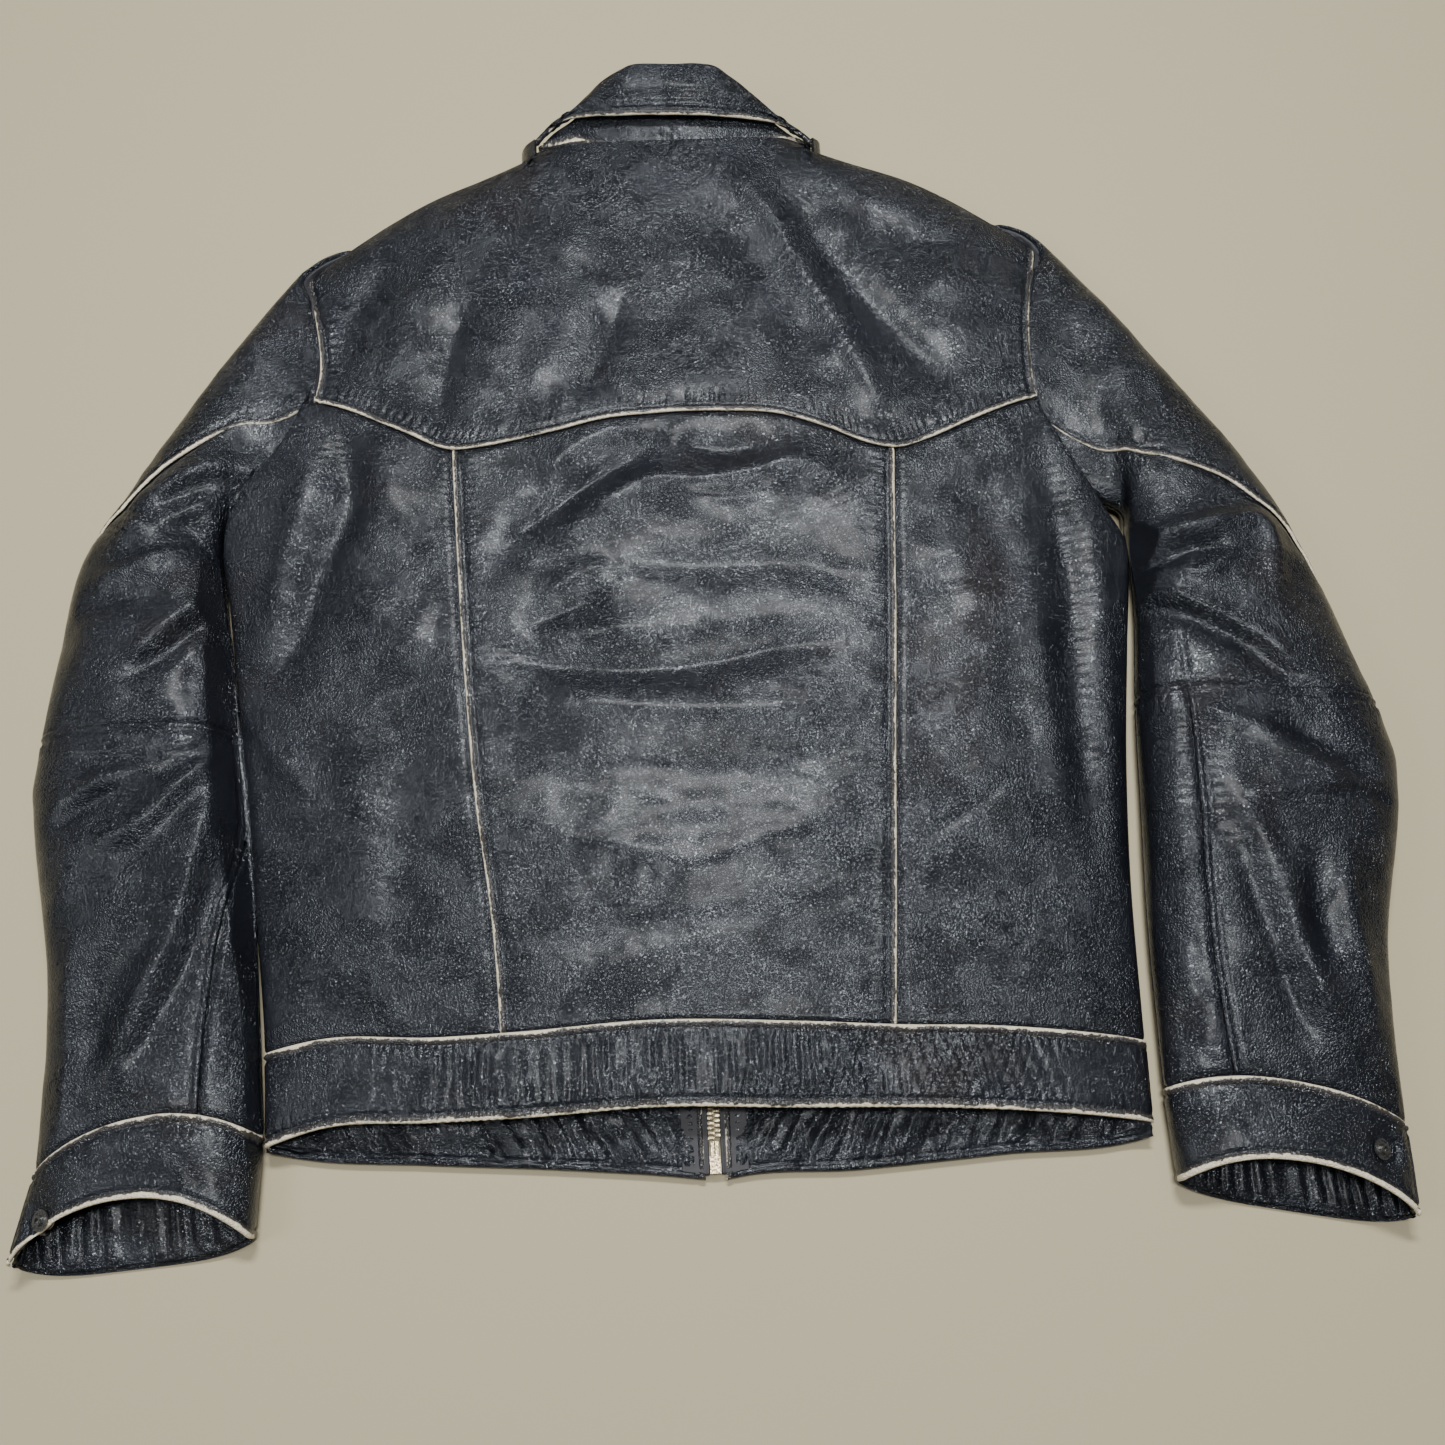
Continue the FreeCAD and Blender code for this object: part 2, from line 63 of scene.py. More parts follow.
RIGHT_HALF = [(-320, 237), (-266, 240), (-190, 245), (-118, 253), (-42, 264), (0, 270), (22, 271), (45, 259),
              (83, 240), (118, 226), (150, 225), (179, 228), (210, 233), (241, 240), (268, 210), (294, 173),
              (314, 126), (329, 92)]


def ease(at, table):
    """A smooth cubic (Hermite) curve through a table of places and values; each slope is that of its
    neighbours."""
    xs, ys = np.array(table, float).T
    slope = np.gradient(ys, xs)
    at = np.clip(np.asarray(at, float), xs[0], xs[-1])
    k = np.clip(np.searchsorted(xs, at, side="right") - 1, 0, len(xs) - 2)
    span = xs[k + 1] - xs[k]
    t = (at - xs[k]) / span
    return (ys[k] * (2 * t**3 - 3 * t**2 + 1) + ys[k + 1] * (3 * t**2 - 2 * t**3)
            + slope[k] * span * (t**3 - 2 * t**2 + t) + slope[k + 1] * span * (t**3 - t**2))


def smooth(t):
    """0 below 0, 1 above 1, and an S-curve 3t^2 - 2t^3 between."""
    t = np.clip(t, 0, 1)
    return t * t * (3 - 2 * t)


LATTICE = np.random.default_rng(7).random((6, 128, 128))


def cloud(x, y, size, layer=0):
    """Value noise from -1 to 1: random lattice values a size apart, joined by S-curves both ways."""
    u, v = np.asarray(x) / size + 31.7 * layer, np.asarray(y) / size + 17.3 * layer
    i, j = np.floor(u).astype(int), np.floor(v).astype(int)
    s, t = smooth(u - i), smooth(v - j)
    grid = LATTICE[layer % 6]
    a, b = grid[i % 128, j % 128], grid[(i + 1) % 128, j % 128]
    c, d = grid[i % 128, (j + 1) % 128], grid[(i + 1) % 128, (j + 1) % 128]
    return 2 * ((a * (1 - s) + b * s) * (1 - t) + (c * (1 - s) + d * s) * t) - 1


def curve_through(points, count=48):
    """Points spread along a Catmull-Rom curve through the given plan points."""
    p = np.array(points, float)
    p = np.vstack([2 * p[0] - p[1], p, 2 * p[-1] - p[-2]])
    t = np.linspace(0, len(points) - 1, count)
    k = np.clip(t.astype(int), 0, len(points) - 2)
    f = (t - k)[:, None]
    a, b, c, d = p[k], p[k + 1], p[k + 2], p[k + 3]
    return 0.5 * (2 * b + (c - a) * f + (2 * a - 5 * b + 4 * c - d) * f**2 + (3 * b - a - 3 * c + d) * f**3)


def folds_at(x, y, folds):
    """Summed height of soft folds. Each is a route, a rise, a width on its left and one on its right: the
    height
    is rise times exp(-(distance / width)^1.6), fading out over the last quarter of the route at both ends."""
    height = np.zeros_like(x)
    for route, rise, left, right in folds:
        line = curve_through(route)
        way = np.gradient(line, axis=0)
        reach = 3.2 * max(left, right)
        near = ((x > line[:, 0].min() - reach) & (x < line[:, 0].max() + reach)
                & (y > line[:, 1].min() - reach) & (y < line[:, 1].max() + reach))
        dx, dy = x[near][:, None] - line[:, 0], y[near][:, None] - line[:, 1]
        k = np.argmin(dx**2 + dy**2, axis=1)
        row = np.arange(len(k))
        dx, dy = dx[row, k], dy[row, k]
        away = np.hypot(dx, dy)
        turn = way[k, 0] * dy - way[k, 1] * dx
        wide = np.where(turn > 0, left, right)
        t = k / (len(line) - 1)
        height[near] += rise * np.exp(-(away / wide) ** 1.6) * smooth(t / 0.28) * smooth((1 - t) / 0.28)
    return height


BODY_FOLDS = [
    # upper centre panel: a slanting valley from the yoke, ridges under it and a shallow hollow on the right
    ([(-116, 14), (-100, 40), (-77, 58), (-52, 76), (-26, 92), (-6, 110)], -5.2, 9, 11),
    ([(-92, 68), (-74, 90), (-48, 106), (-20, 108)], 2.4, 10, 9),
    ([(-88, 16), (-66, 42), (-44, 61), (-18, 72), (18, 70), (46, 75), (70, 79), (92, 68), (106, 36)], 5.2, 9,
     17),
    ([(-40, 16), (-6, 12), (40, 12), (80, 10), (104, -14)], -2.6, 15, 15),
    ([(-9, 63), (28, 57), (64, 65)], -1.5, 6, 6),
    ([(-6, 98), (25, 90), (60, 94)], -3.4, 11, 8),
    ([(-92, -10), (-70, 8), (-44, 18)], 1.9, 9, 8),
    ([(-104, -26), (-76, -14), (-44, -2)], -2.0, 9, 8),
    ([(-98, -40), (-62, -30), (-22, -24)], 1.6, 10, 9),
    # middle of the back: two long level swells and the V of the lumbar drape
    ([(-128, -32), (-89, -46), (-38, -54), (13, -50), (54, -43), (112, -38)], -4.4, 13, 11),
    ([(-118, -68), (-59, -74), (1, -80), (52, -80), (104, -70)], 3.4, 15, 20),
    ([(-128, -112), (-78, -112), (-27, -112), (25, -117), (104, -108)], -2.6, 18, 18),
    ([(-112, -150), (-56, -157), (-6, -172), (45, -158), (106, -136)], 2.4, 14, 18),
    ([(-116, -194), (-57, -201), (-2, -198), (54, -198), (108, -192)], -1.8, 20, 20),
    # left side panel
    ([(-203, 134), (-208, 99), (-204, 68), (-217, 33), (-228, -2), (-240, -34), (-262, -66)], -7.5, 12, 15),
    ([(-226, 118), (-234, 70), (-244, 20), (-256, -50)], 3.2, 13, 10),
    ([(-190, 120), (-186, 80), (-190, 45)], 2.6, 14, 12),
    ([(-266, -64), (-252, -84), (-232, -107), (-204, -140)], 2.8, 7, 9),
    ([(-262, -78), (-250, -110), (-246, -150)], -2.6, 9, 8),
    ([(-206, -72), (-222, -123), (-230, -190)], -2.2, 16, 16),
    ([(-184, -20), (-168, -70), (-166, -126), (-168, -184), (-173, -232)], -2.0, 16, 16),
    ([(-196, -101), (-189, -155), (-186, -220)], 1.7, 14, 14),
    ([(-200, 10), (-176, -20), (-150, -30)], 2.2, 20, 18),
    # right side panel: the sharp shiny ridge along the side and the gutter beside it
    ([(252, 60), (252, 20), (249, -63), (243, -125), (238, -184), (230, -250)], 4.2, 9, 10),
    ([(220, 118), (226, 60), (229, 0), (226, -63), (225, -125), (224, -200)], -5.5, 12, 12),
    ([(206, 40), (207, -60), (210, -133), (214, -220)], 2.4, 12, 12),
    ([(165, 70), (188, 34), (204, -20)], -2.2, 15, 14),
    ([(158, 30), (168, 0), (180, -44)], 2.4, 17, 15),
    ([(176, -70), (188, -88), (196, -118)], -2.0, 14, 12),
    ([(160, -110), (176, -140), (190, -180)], 1.6, 16, 16),
    ([(124, -7), (160, -9), (200, 0)], -0.8, 2.6, 4),
    ([(122, -166), (154, -148), (189, -124)], -0.8, 3, 4),
    ([(123, -70), (142, -67), (160, -72)], -0.7, 2.5, 3),
    # yoke: drapes that run from the collar and shoulders down to its points
    ([(40, 318), (46, 292), (64, 266), (84, 221), (106, 168), (122, 128), (130, 104)], 4.0, 13, 9),
    ([(72, 290), (86, 262), (106, 224), (134, 180), (162, 141), (180, 116)], -4.4, 12, 15),
    ([(14, 296), (46, 240), (74, 190), (96, 140)], -2.2, 18, 14),
    ([(100, 292), (134, 274), (176, 256)], 2.0, 12, 12),
    ([(112, 244), (150, 240), (190, 240)], -2.2, 14, 12),
    ([(160, 226), (182, 196), (184, 158)], 1.8, 18, 16),
    ([(-40, 290), (-73, 236), (-104, 184), (-134, 130)], 2.0, 18, 16),
    ([(-128, 214), (-142, 176), (-150, 138), (-149, 106)], -3.4, 10, 10),
    ([(-176, 262), (-200, 214), (-219, 166), (-214, 138)], -3.2, 15, 13),
    ([(-150, 248), (-172, 196), (-180, 146)], 2.2, 15, 14),
    ([(-30, 220), (-42, 178), (-54, 150), (-66, 128)], -2.8, 9, 10),
    ([(-54, 226), (-76, 172), (-98, 134)], 1.8, 12, 12),
    ([(-60, 196), (-40, 150), (10, 140), (60, 150)], 0.9, 16, 14),
]


def body_half(x, y):
    """Half width of the body on the side that x is on."""
    return np.where(x < 0, ease(y, LEFT_HALF), ease(y, RIGHT_HALF))


def body_height(x, y):
    """Outer height of the back: side + (crown - side)(1 - q^3)^0.42 with q the fraction of the half width,
    plus
    the folds, which die out at the sides, and slow and quick unevenness of the hide."""
    q = np.clip(np.abs(x) / body_half(x, y), 0, 1)
    side, crown = ease(y, SIDE_HIGH), ease(y, CROWN_HIGH)
    flat = 1 - q**14
    warp_x, warp_y = x + 9 * cloud(x, y, 46, 1), y + 9 * cloud(x, y, 46, 2)
    crumple = (1.2 * cloud(warp_x, warp_y, 62, 0) + 0.42 * cloud(warp_x, warp_y * 1.5, 26, 3)
               + 0.13 * cloud(warp_x * 1.3, warp_y, 9.5, 4) + 0.07 * cloud(x, y, 4.1, 5))
    hem = 1 - 0.85 * smooth((-235 - y) / 40)
    return side + (crown - side) * (1 - q**3) ** 0.42 + flat * (hem * folds_at(x, y, BODY_FOLDS) + crumple)


def steps(length, coarse, first=0.35, growth=1.3):
    """Fractions from 0 to 1 that start and end with short steps and grow to the coarse one, so edges are
    crisp."""
    run = [0.0]
    step = first
    while step < coarse and run[-1] + step < length * 0.45:
        run.append(run[-1] + step)
        step *= growth
    middle = length - 2 * run[-1]
    count = max(2, int(middle / coarse))
    whole = run + [run[-1] + middle * (k + 1) / count for k in range(count - 1)] + [length
            - r for r in run[::-1]]
    return np.array(whole) / length


def normals(grid, flip=False):
    """Unit normals of a grid of points, from the cross product of its two directions."""
    n = np.cross(np.gradient(grid, axis=0), np.gradient(grid, axis=1))
    n /= np.maximum(np.linalg.norm(n, axis=2, keepdims=True), 1e-9)
    return -n if flip else n


def seam_relief(away, along, kind, pucker):
    """Height change near one edge. Every folded edge rolls over a radius of 1.1. A stitched one has a bead, a
    groove 4.8 in from the edge and puckers square to it; one that is sewn under its neighbour dips
    instead."""
    waves = np.sin(2 * np.pi * (along / 5.1 + 1.3 * cloud(along, 0 * along, 14, 2)))
    uneven = 0.55 + 0.45 * cloud(along, 0 * along + 40, 23, 3)
    if kind == "tuck":
        return pucker * waves * uneven * smooth((away - 6) / 3) * smooth((20 - away) / 10)
    if kind == "under":
        fade = smooth((away - 6) / 3) * smooth((22 - away) / 12)
        return -2.0 * (1 - smooth((away - 6.0) / 4.5)) + pucker * 0.8 * waves * uneven * fade
    roll = -1.1 * (1 - np.sqrt(1 - np.clip(1 - away / 1.1, 0, 1) ** 2))
    if kind == "plain":
        return roll
    bead = 0.4 * np.exp(-((away - 2.5) / 1.5) ** 2)
    groove = -1.15 * np.exp(-((away - 4.6) / 1.0) ** 2) * (1 + 0.25 * waves)
    fade = smooth((away - 4.8) / 1.4) * smooth((17 - away) / 9)
    nibs = 0.3 * pucker * waves * np.exp(-((away - 2.4) / 1.1) ** 2)
    return roll + bead + groove + nibs + 1.5 * pucker * waves * uneven * fade


def dress(grid, edges, flip=False):
    """Works the seams into a grid. edges gives, for its first and last row and its first and last column,
    None or
    (kind, pucker height, worn). Returns the grid and each point's distance to the nearest worn edge."""
    arc = [np.zeros(grid.shape[:2]), np.zeros(grid.shape[:2])]
    arc[0][1:] = np.cumsum(np.linalg.norm(np.diff(grid, axis=0), axis=2), axis=0)
    arc[1][:, 1:] = np.cumsum(np.linalg.norm(np.diff(grid, axis=1), axis=2), axis=1)
    lift = np.zeros(grid.shape[:2])
    wear_and_highlight_at = np.full(grid.shape[:2], 60.0)
    for place, edge in enumerate(edges):
        if edge is None:
            continue
        kind, pucker, worn = edge
        axis, last = divmod(place, 2)
        away = arc[axis][-1:] - arc[axis] if axis == 0 and last else arc[axis]
        if axis == 1 and last:
            away = arc[1][:, -1:] - arc[1]
        pick = -1 if last else 0
        along = arc[1][pick][None, :] + 0 * away if axis == 0 else arc[0][:, pick][:, None] + 0 * away
        lift += seam_relief(away, along, kind, pucker)
        if worn:
            wear_and_highlight_at = np.minimum(wear_and_highlight_at, away)
    return grid + normals(grid, flip) * lift[:, :, None], wear_and_highlight_at


def skin(name, grid, thick, material, wear_and_highlight_at=None, flip=False):
    """A closed piece: the outer grid, the same grid a thickness inwards, and a rim that joins their
    borders."""
    n, m, _ = grid.shape
    inner = grid - normals(grid, flip) * thick
    inner[..., 2] = np.maximum(inner[..., 2], 0.12)
    points = np.concatenate([grid.reshape(-1, 3), inner.reshape(-1, 3)]) * 0.001
    number = np.arange(n * m).reshape(n, m)
    outer = np.stack([number[:-1, :-1], number[1:, :-1], number[1:, 1:], number[:-1, 1:]], -1).reshape(-1, 4)
    ring = np.concatenate([number[:-1, 0], number[-1, :-1], number[:0:-1, -1], number[0, :0:-1]])
    after = np.roll(ring, -1)
    rim = np.stack([ring + n * m, after + n * m, after, ring], -1)
    faces = np.concatenate([outer, outer[:, ::-1] + n * m, rim])  # the rim comes last, and is shaded flat
    piece = mesh_piece(name, points, faces[:, ::-1] if flip else faces, material)
    shading = np.ones(len(faces), bool)
    shading[2 * len(outer):] = False
    piece.data.polygons.foreach_set("use_smooth", shading)
    wear = np.full(2 * n * m, 60.0) if wear_and_highlight_at is None else np.concatenate([wear_and_highlight_at.ravel(), wear_and_highlight_at.ravel()
            + 1.2])
    piece.data.attributes.new("worn", "FLOAT", "POINT").data.foreach_set("value", wear.astype(np.float32))
    return piece


def mesh_piece(name, points, faces, material):
    """A mesh object at the origin from an array of points in metres and one of four-cornered faces."""
    mesh = bpy.data.meshes.new(name)
    mesh.vertices.add(len(points))
    mesh.vertices.foreach_set("co", np.ascontiguousarray(points, np.float32).ravel())
    mesh.loops.add(faces.size)
    mesh.loops.foreach_set("vertex_index", np.ascontiguousarray(faces, np.int32).ravel())
    mesh.polygons.add(len(faces))
    mesh.polygons.foreach_set("loop_start", np.arange(0, faces.size, faces.shape[1], dtype=np.int32))
    mesh.update(calc_edges=True)
    mesh.polygons.foreach_set("use_smooth", np.ones(len(faces), bool))
    mesh.materials.append(material)
    piece = bpy.data.objects.new(name, mesh)
    bpy.context.scene.collection.objects.link(piece)
    return piece


def hide(name, dye=(0.0042, 0.0050, 0.0076), lit=(0.0080, 0.0090, 0.0130), gloss=0.245, worn=(0.80, 0.71,
        0.53), wear=1.0):
    """Dyed cowhide: crackled grain and fine pores as bump, uneven dye with faint brown patches, fine flecks of
    painted highlight, and pale hide where the worn attribute is small, broken up by noise. The attribute is
    millimetres from a worn fold, and on the collar stand millimetres from the neck seam, where the pale line is
    a painted highlight."""
    material = bpy.data.materials.new(name)
    material.use_nodes = True
    tree = material.node_tree
    tree.nodes.clear()

    def node(kind, **settings):
        made = tree.nodes.new(kind)
        for key, value in settings.items():
            setattr(made, key, value)
        return made

    def link(a, b):
        tree.links.new(a, b)

    def noise(scale, detail=3.0, rough=0.55, source=None):
        made = node("ShaderNodeTexNoise")
        made.inputs["Scale"].default_value = scale
        made.inputs["Detail"].default_value = detail
        made.inputs["Roughness"].default_value = rough
        link(source or place.outputs["Object"], made.inputs["Vector"])
        return made.outputs["Fac"]

    def span(value, low, high, to_low=0.0, to_high=1.0):
        made = node("ShaderNodeMapRange", interpolation_type="SMOOTHSTEP")
        link(value, made.inputs["Value"])
        for key, number in (("From Min", low), ("From Max", high), ("To Min", to_low), ("To Max", to_high)):
            made.inputs[key].default_value = number
        return made.outputs["Result"]

    def sum_of(a, b, scale=1.0, operation="MULTIPLY_ADD"):
        made = node("ShaderNodeMath", operation=operation)
        link(a, made.inputs[0])
        made.inputs[1].default_value = scale
        if operation == "MULTIPLY_ADD":
            link(b, made.inputs[2])
        else:
            link(b, made.inputs[1])
        return made.outputs["Value"]

    def mix(fac, a, b):
        made = node("ShaderNodeMix", data_type="RGBA")
        link(fac, made.inputs["Factor"])
        for key, value in (("A", a), ("B", b)):
            socket = [s for s in made.inputs if s.name == key and s.type == "RGBA"][0]
            if isinstance(value, tuple):
                socket.default_value = (*value, 1)
            else:
                link(value, socket)
        return [s for s in made.outputs if s.type == "RGBA"][0]

    place = node("ShaderNodeTexCoord")
    shader = node("ShaderNodeBsdfPrincipled")
    output = node("ShaderNodeOutputMaterial")
    link(shader.outputs["BSDF"], output.inputs["Surface"])

    wobble = node("ShaderNodeVectorMath", operation="MULTIPLY_ADD")
    drift = node("ShaderNodeTexNoise")
    drift.inputs["Scale"].default_value = 320
    link(place.outputs["Object"], drift.inputs["Vector"])
    link(drift.outputs["Color"], wobble.inputs[0])
    wobble.inputs[1].default_value = (0.0016, 0.0016, 0.0016)
    link(place.outputs["Object"], wobble.inputs[2])

    crackle = node("ShaderNodeTexVoronoi", feature="DISTANCE_TO_EDGE")
    crackle.inputs["Scale"].default_value = 430
    link(wobble.outputs["Vector"], crackle.inputs["Vector"])
    pebble = node("ShaderNodeTexVoronoi", feature="SMOOTH_F1")
    pebble.inputs["Scale"].default_value = 1150
    link(wobble.outputs["Vector"], pebble.inputs["Vector"])
    cracks = span(crackle.outputs["Distance"], 0.0, 0.16)
    where = span(noise(36, 2), 0.42, 0.62)
    deep = sum_of(cracks, where, operation="MULTIPLY")
    grain = sum_of(deep, span(pebble.outputs["Distance"], 0.0, 0.7, 1.0, 0.0), 0.9)
    grain = sum_of(noise(210, 4, 0.6), grain, 1.3)
    bump = node("ShaderNodeBump")
    bump.inputs["Strength"].default_value = 0.85
    bump.inputs["Distance"].default_value = 0.00042
    link(grain, bump.inputs["Height"])
    slow = node("ShaderNodeBump")
    slow.inputs["Strength"].default_value = 0.20
    slow.inputs["Distance"].default_value = 0.0016
    link(noise(120, 3, 0.5), slow.inputs["Height"])
    link(slow.outputs["Normal"], bump.inputs["Normal"])
    link(bump.outputs["Normal"], shader.inputs["Normal"])

    colour = mix(span(noise(17, 4), 0.35, 0.68), dye, lit)
    colour = mix(span(noise(9, 2), 0.60, 0.78, 0.0, 0.45), colour, (0.020, 0.0145, 0.0130))
    # painted highlight: fine pale blue-grey flecks that stand in for dusty glints of light on the grain
    colour = mix(span(noise(900, 2), 0.62, 0.74, 0.0, 0.22), colour, (0.045, 0.046, 0.052))
    # pale hide where the worn attribute is small: real wear on the folds, and on the collar stand a painted
    # highlight line along the neck seam
    distance = node("ShaderNodeAttribute", attribute_name="worn")
    ragged = sum_of(noise(420, 3, 0.65), distance.outputs["Fac"], -3.0 * wear)
    ragged = sum_of(noise(60, 2), ragged, -3.4 * wear)
    rubbed_and_highlight = span(ragged, -1.75 * wear, -2.35 * wear)
    scuffed = span(ragged, 1.2 * wear, -1.6 * wear, 0.0, 0.34)
    colour = mix(scuffed, colour, (0.13, 0.115, 0.095))
    colour = mix(rubbed_and_highlight, colour, worn)
    link(colour, shader.inputs["Base Color"])
    rough = span(noise(26, 3), 0.3, 0.7, gloss - 0.07, gloss + 0.09)
    rough = sum_of(rubbed_and_highlight, rough, 0.30)
    link(rough, shader.inputs["Roughness"])
    shader.inputs["Specular IOR Level"].default_value = 0.5
    shader.inputs["Specular Tint"].default_value = (0.86, 0.93, 1.0, 1)
    shader.inputs["Coat Weight"].default_value = 0.10
    shader.inputs["Coat Roughness"].default_value = 0.24
    return material


shell_hide = hide("navy_black_hide")

YOKE_SEAM = [(-262, 152), (-238, 142), (-206, 130), (-174, 114), (-142, 99), (-125, 100), (-100, 104),
             (-75, 109),
             (-48, 115), (-12, 118), (25, 117.5), (62, 113.5), (93, 102), (117, 90), (133, 86.5), (154, 92),
             (180, 103), (207, 114), (226, 120), (262, 132)]
LEFT_SEAM = [(-275, -112), (-200, -117.5), (-129, -127), (-55, -133.5), (23, -138.5), (112, -143)]
RIGHT_SEAM = [(-275, 101), (-210, 107), (-105, 116), (-30, 123), (50, 129), (112, 134)]
UNDERLAP = 7.0


def panel_grid(left, right, low, high, across, up):
    """A patch of the back: rows run from the low line to the high line, columns from left to right. x
    blends the
    left and right lines at the row's own y, and the height is the body's."""
    u, v = np.meshgrid(across, up, indexing="ij")
    x = left(low(0) + 0 * v) * (1 - u) + right(low(0) + 0 * v) * u
    for _ in range(3):
        y = low(x) * (1 - v) + high(x) * v
        x = left(y) * (1 - u) + right(y) * u
    return np.stack([x, y, body_height(x, y)], -1)


def yoke_line(x):
    """The yoke's lower seam, y for each x."""
    return ease(x, YOKE_SEAM)


def waist_line(x):
    """Where the body meets the waistband, dipping a little to the right."""
    return ease(x, [(-250, -265), (-208, -259), (-150, -262), (-100, -261.5), (-30, -259), (50, -263.5),
                    (105, -268),
                    (157, -271), (210, -277), (250, -283)])


centre_grid = panel_grid(lambda y: ease(y, LEFT_SEAM), lambda y: ease(y, RIGHT_SEAM),
                         lambda x: waist_line(x) - UNDERLAP, lambda x: yoke_line(x) + UNDERLAP,
                         steps(270, 2.5), steps(390, 1.3))
centre_grid, centre_worn = dress(centre_grid, [("fold", 0.42, True), ("fold", 0.42, True),
                                               ("under", 0.5, False), ("under", 0.35, False)])
centre_panel = skin("centre_panel_hide", centre_grid, 1.3, shell_hide, centre_worn)
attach(centre_panel, "torso")
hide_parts("back_centre_panel")

# ---- Back side panels -----------------------------------------------------------------------------------
# One to each side, from the centre panel out to the side seam, where the hide turns down over the edge. The
# long inner edge lies under the centre panel's stitched fold, and the top under the yoke.
out_steps = 1 - (1 - steps(140, 2.2)) ** 1.5
left_grid = panel_grid(lambda y: -ease(y, LEFT_HALF), lambda y: ease(y, LEFT_SEAM) + UNDERLAP,
                       lambda x: waist_line(x) - UNDERLAP, lambda x: yoke_line(x) + UNDERLAP,
                       1 - out_steps[::-1], steps(390, 1.5))
right_grid = panel_grid(lambda y: ease(y, RIGHT_SEAM) - UNDERLAP, lambda y: ease(y, RIGHT_HALF),
                        lambda x: waist_line(x) - UNDERLAP, lambda x: yoke_line(x) + UNDERLAP,
                        out_steps, steps(390, 1.5))
for side_name, grid, edges in (
        ("left", left_grid, [("plain", 0, False), ("under", 0.3, False), ("under", 0.35, False),
                             ("under", 0.3, False)]),
        ("right", right_grid, [("under", 0.3, False), ("plain", 0, False), ("under", 0.35, False),
                               ("under", 0.3, False)])):
    grid, wear_and_highlight_at = dress(grid, edges)
    side_panel = skin(f"side_panel_hide_{side_name}", grid, 1.3, shell_hide, wear_and_highlight_at)
    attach(side_panel, "torso")
    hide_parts(f"back_side_panel_{side_name}")

# ---- Back yoke ------------------------------------------------------------------------------------------
# One piece across both shoulders. Its lower edge dips to a point over each long seam and is folded and
# topstitched over the panels below; its ends are stitched over the sleeve heads.
def yoke_top(x):
    """The shoulder line from the armhole to the neck, then the nearly straight neck seam."""
    return ease(np.abs(x), [(0, 323.5), (40, 324), (80, 326.5), (92, 327.5), (122, 313), (170, 293),
                            (208, 267),
                            (237, 240), (262, 226)])


yoke_across, yoke_up = steps(474, 1.3), steps(200, 2.1)
u, v = np.meshgrid(2 * yoke_across - 1, yoke_up, indexing="ij")
x = np.where(u < 0, 238.0, 232.0) * u
for _ in range(6):
    y = yoke_line(x) * (1 - v) + yoke_top(x) * v
    x = 0.5 * x + 0.5 * u * np.minimum(body_half(x, y), ease(y, [(90, 262), (118, 239.5), (250, 239.5),
            (330, 239)]))
y = y - 4.5 * smooth((np.abs(x) - 88) / 8) * smooth((v - 0.8) / 0.2)
yoke_grid = np.stack([x, y, body_height(x, y) + 0.3], -1)
# past the shoulder line the hide rolls down a quarter of an ellipse to meet the fronts; at the neck it runs on 2
top_row = yoke_grid[:, -1:]
roll = steps(30, 1.8)[None, 1:]
off_neck = smooth((np.abs(top_row[..., 0]) - 90) / 5)
turned = np.stack([top_row[..., 0] + 0 * roll,
                   top_row[..., 1] + off_neck * 4.5 * np.sin(roll * np.pi / 2) + (1 - off_neck) * 2.0 * roll,
                   top_row[..., 2] - off_neck * (top_row[..., 2] - 2.4) * (1 - np.cos(roll * np.pi / 2))], -1)
yoke_grid = np.concatenate([yoke_grid, turned], axis=1)
yoke_grid, yoke_worn = dress(yoke_grid, [("fold", 0.35, True), ("fold", 0.35, True), ("fold", 0.45, True),
                                         ("plain", 0, False)])
yoke = skin("yoke_hide", yoke_grid, 1.3, shell_hide, yoke_worn)
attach(yoke, "torso")
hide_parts("back_yoke")

# ---- Back waistband -------------------------------------------------------------------------------------
# A doubled band sewn over the lower edge of the back, with a row of stitching near each edge. Elastic and years
# of wear have drawn it into short upright puckers, and both of its folds are rubbed pale.
def band_low(x):
    """The waistband's lower fold, y for each x."""
    return ease(x, [(-244, -314), (-208, -305.5), (-150, -306), (-100, -306), (-30, -304), (46, -308),
                    (100, -310.5),
                    (152, -314), (205, -319.5), (244, -325)])


def band_pucker(x, y, top, bottom):
    """Upright puckers with round tops: two waves |sin| across the band whose phase wanders, slanting a
    little,
    strongest in the middle of the back and dying out at the sides, plus a short rib on each stitched
    margin."""
    v = (y - bottom) / (top - bottom)
    slant = 6 * smooth((x - 40) / 60) * (v - 0.5) * 2
    drift = 5.5 * cloud(x, y * 0.5, 19, 1) + slant * 1.6
    strength = (0.35 + 0.65 * smooth((195 - np.abs(x)) / 70)) * (0.7 + 0.5 * cloud(x, 0 * x, 33, 4))
    body = smooth((v - 0.10) / 0.12) * smooth((0.90 - v) / 0.12)
    wave = np.abs(np.sin(np.pi * (x + drift) / 8.2)) + 0.5 * np.abs(np.sin(np.pi * (x - 1.4 * drift) / 5.3
            + 2)) - 0.95
    crease = 0.55 * cloud(x * 1.5 + drift, y * 0.7, 8.0, 3) + 0.15 * cloud(x * 1.6, y, 4.2, 5)
    ribs = np.sin(2 * np.pi * (x + 3.5 * cloud(x, y, 11, 2) + 2.2 * (v - 0.5)) / 4.3)
    margin = (1 - body) * smooth(np.minimum(v, 1 - v) / 0.03)
    return strength * (body * (1.25 * wave + 1.0 * crease) + margin * 0.45 * ribs)


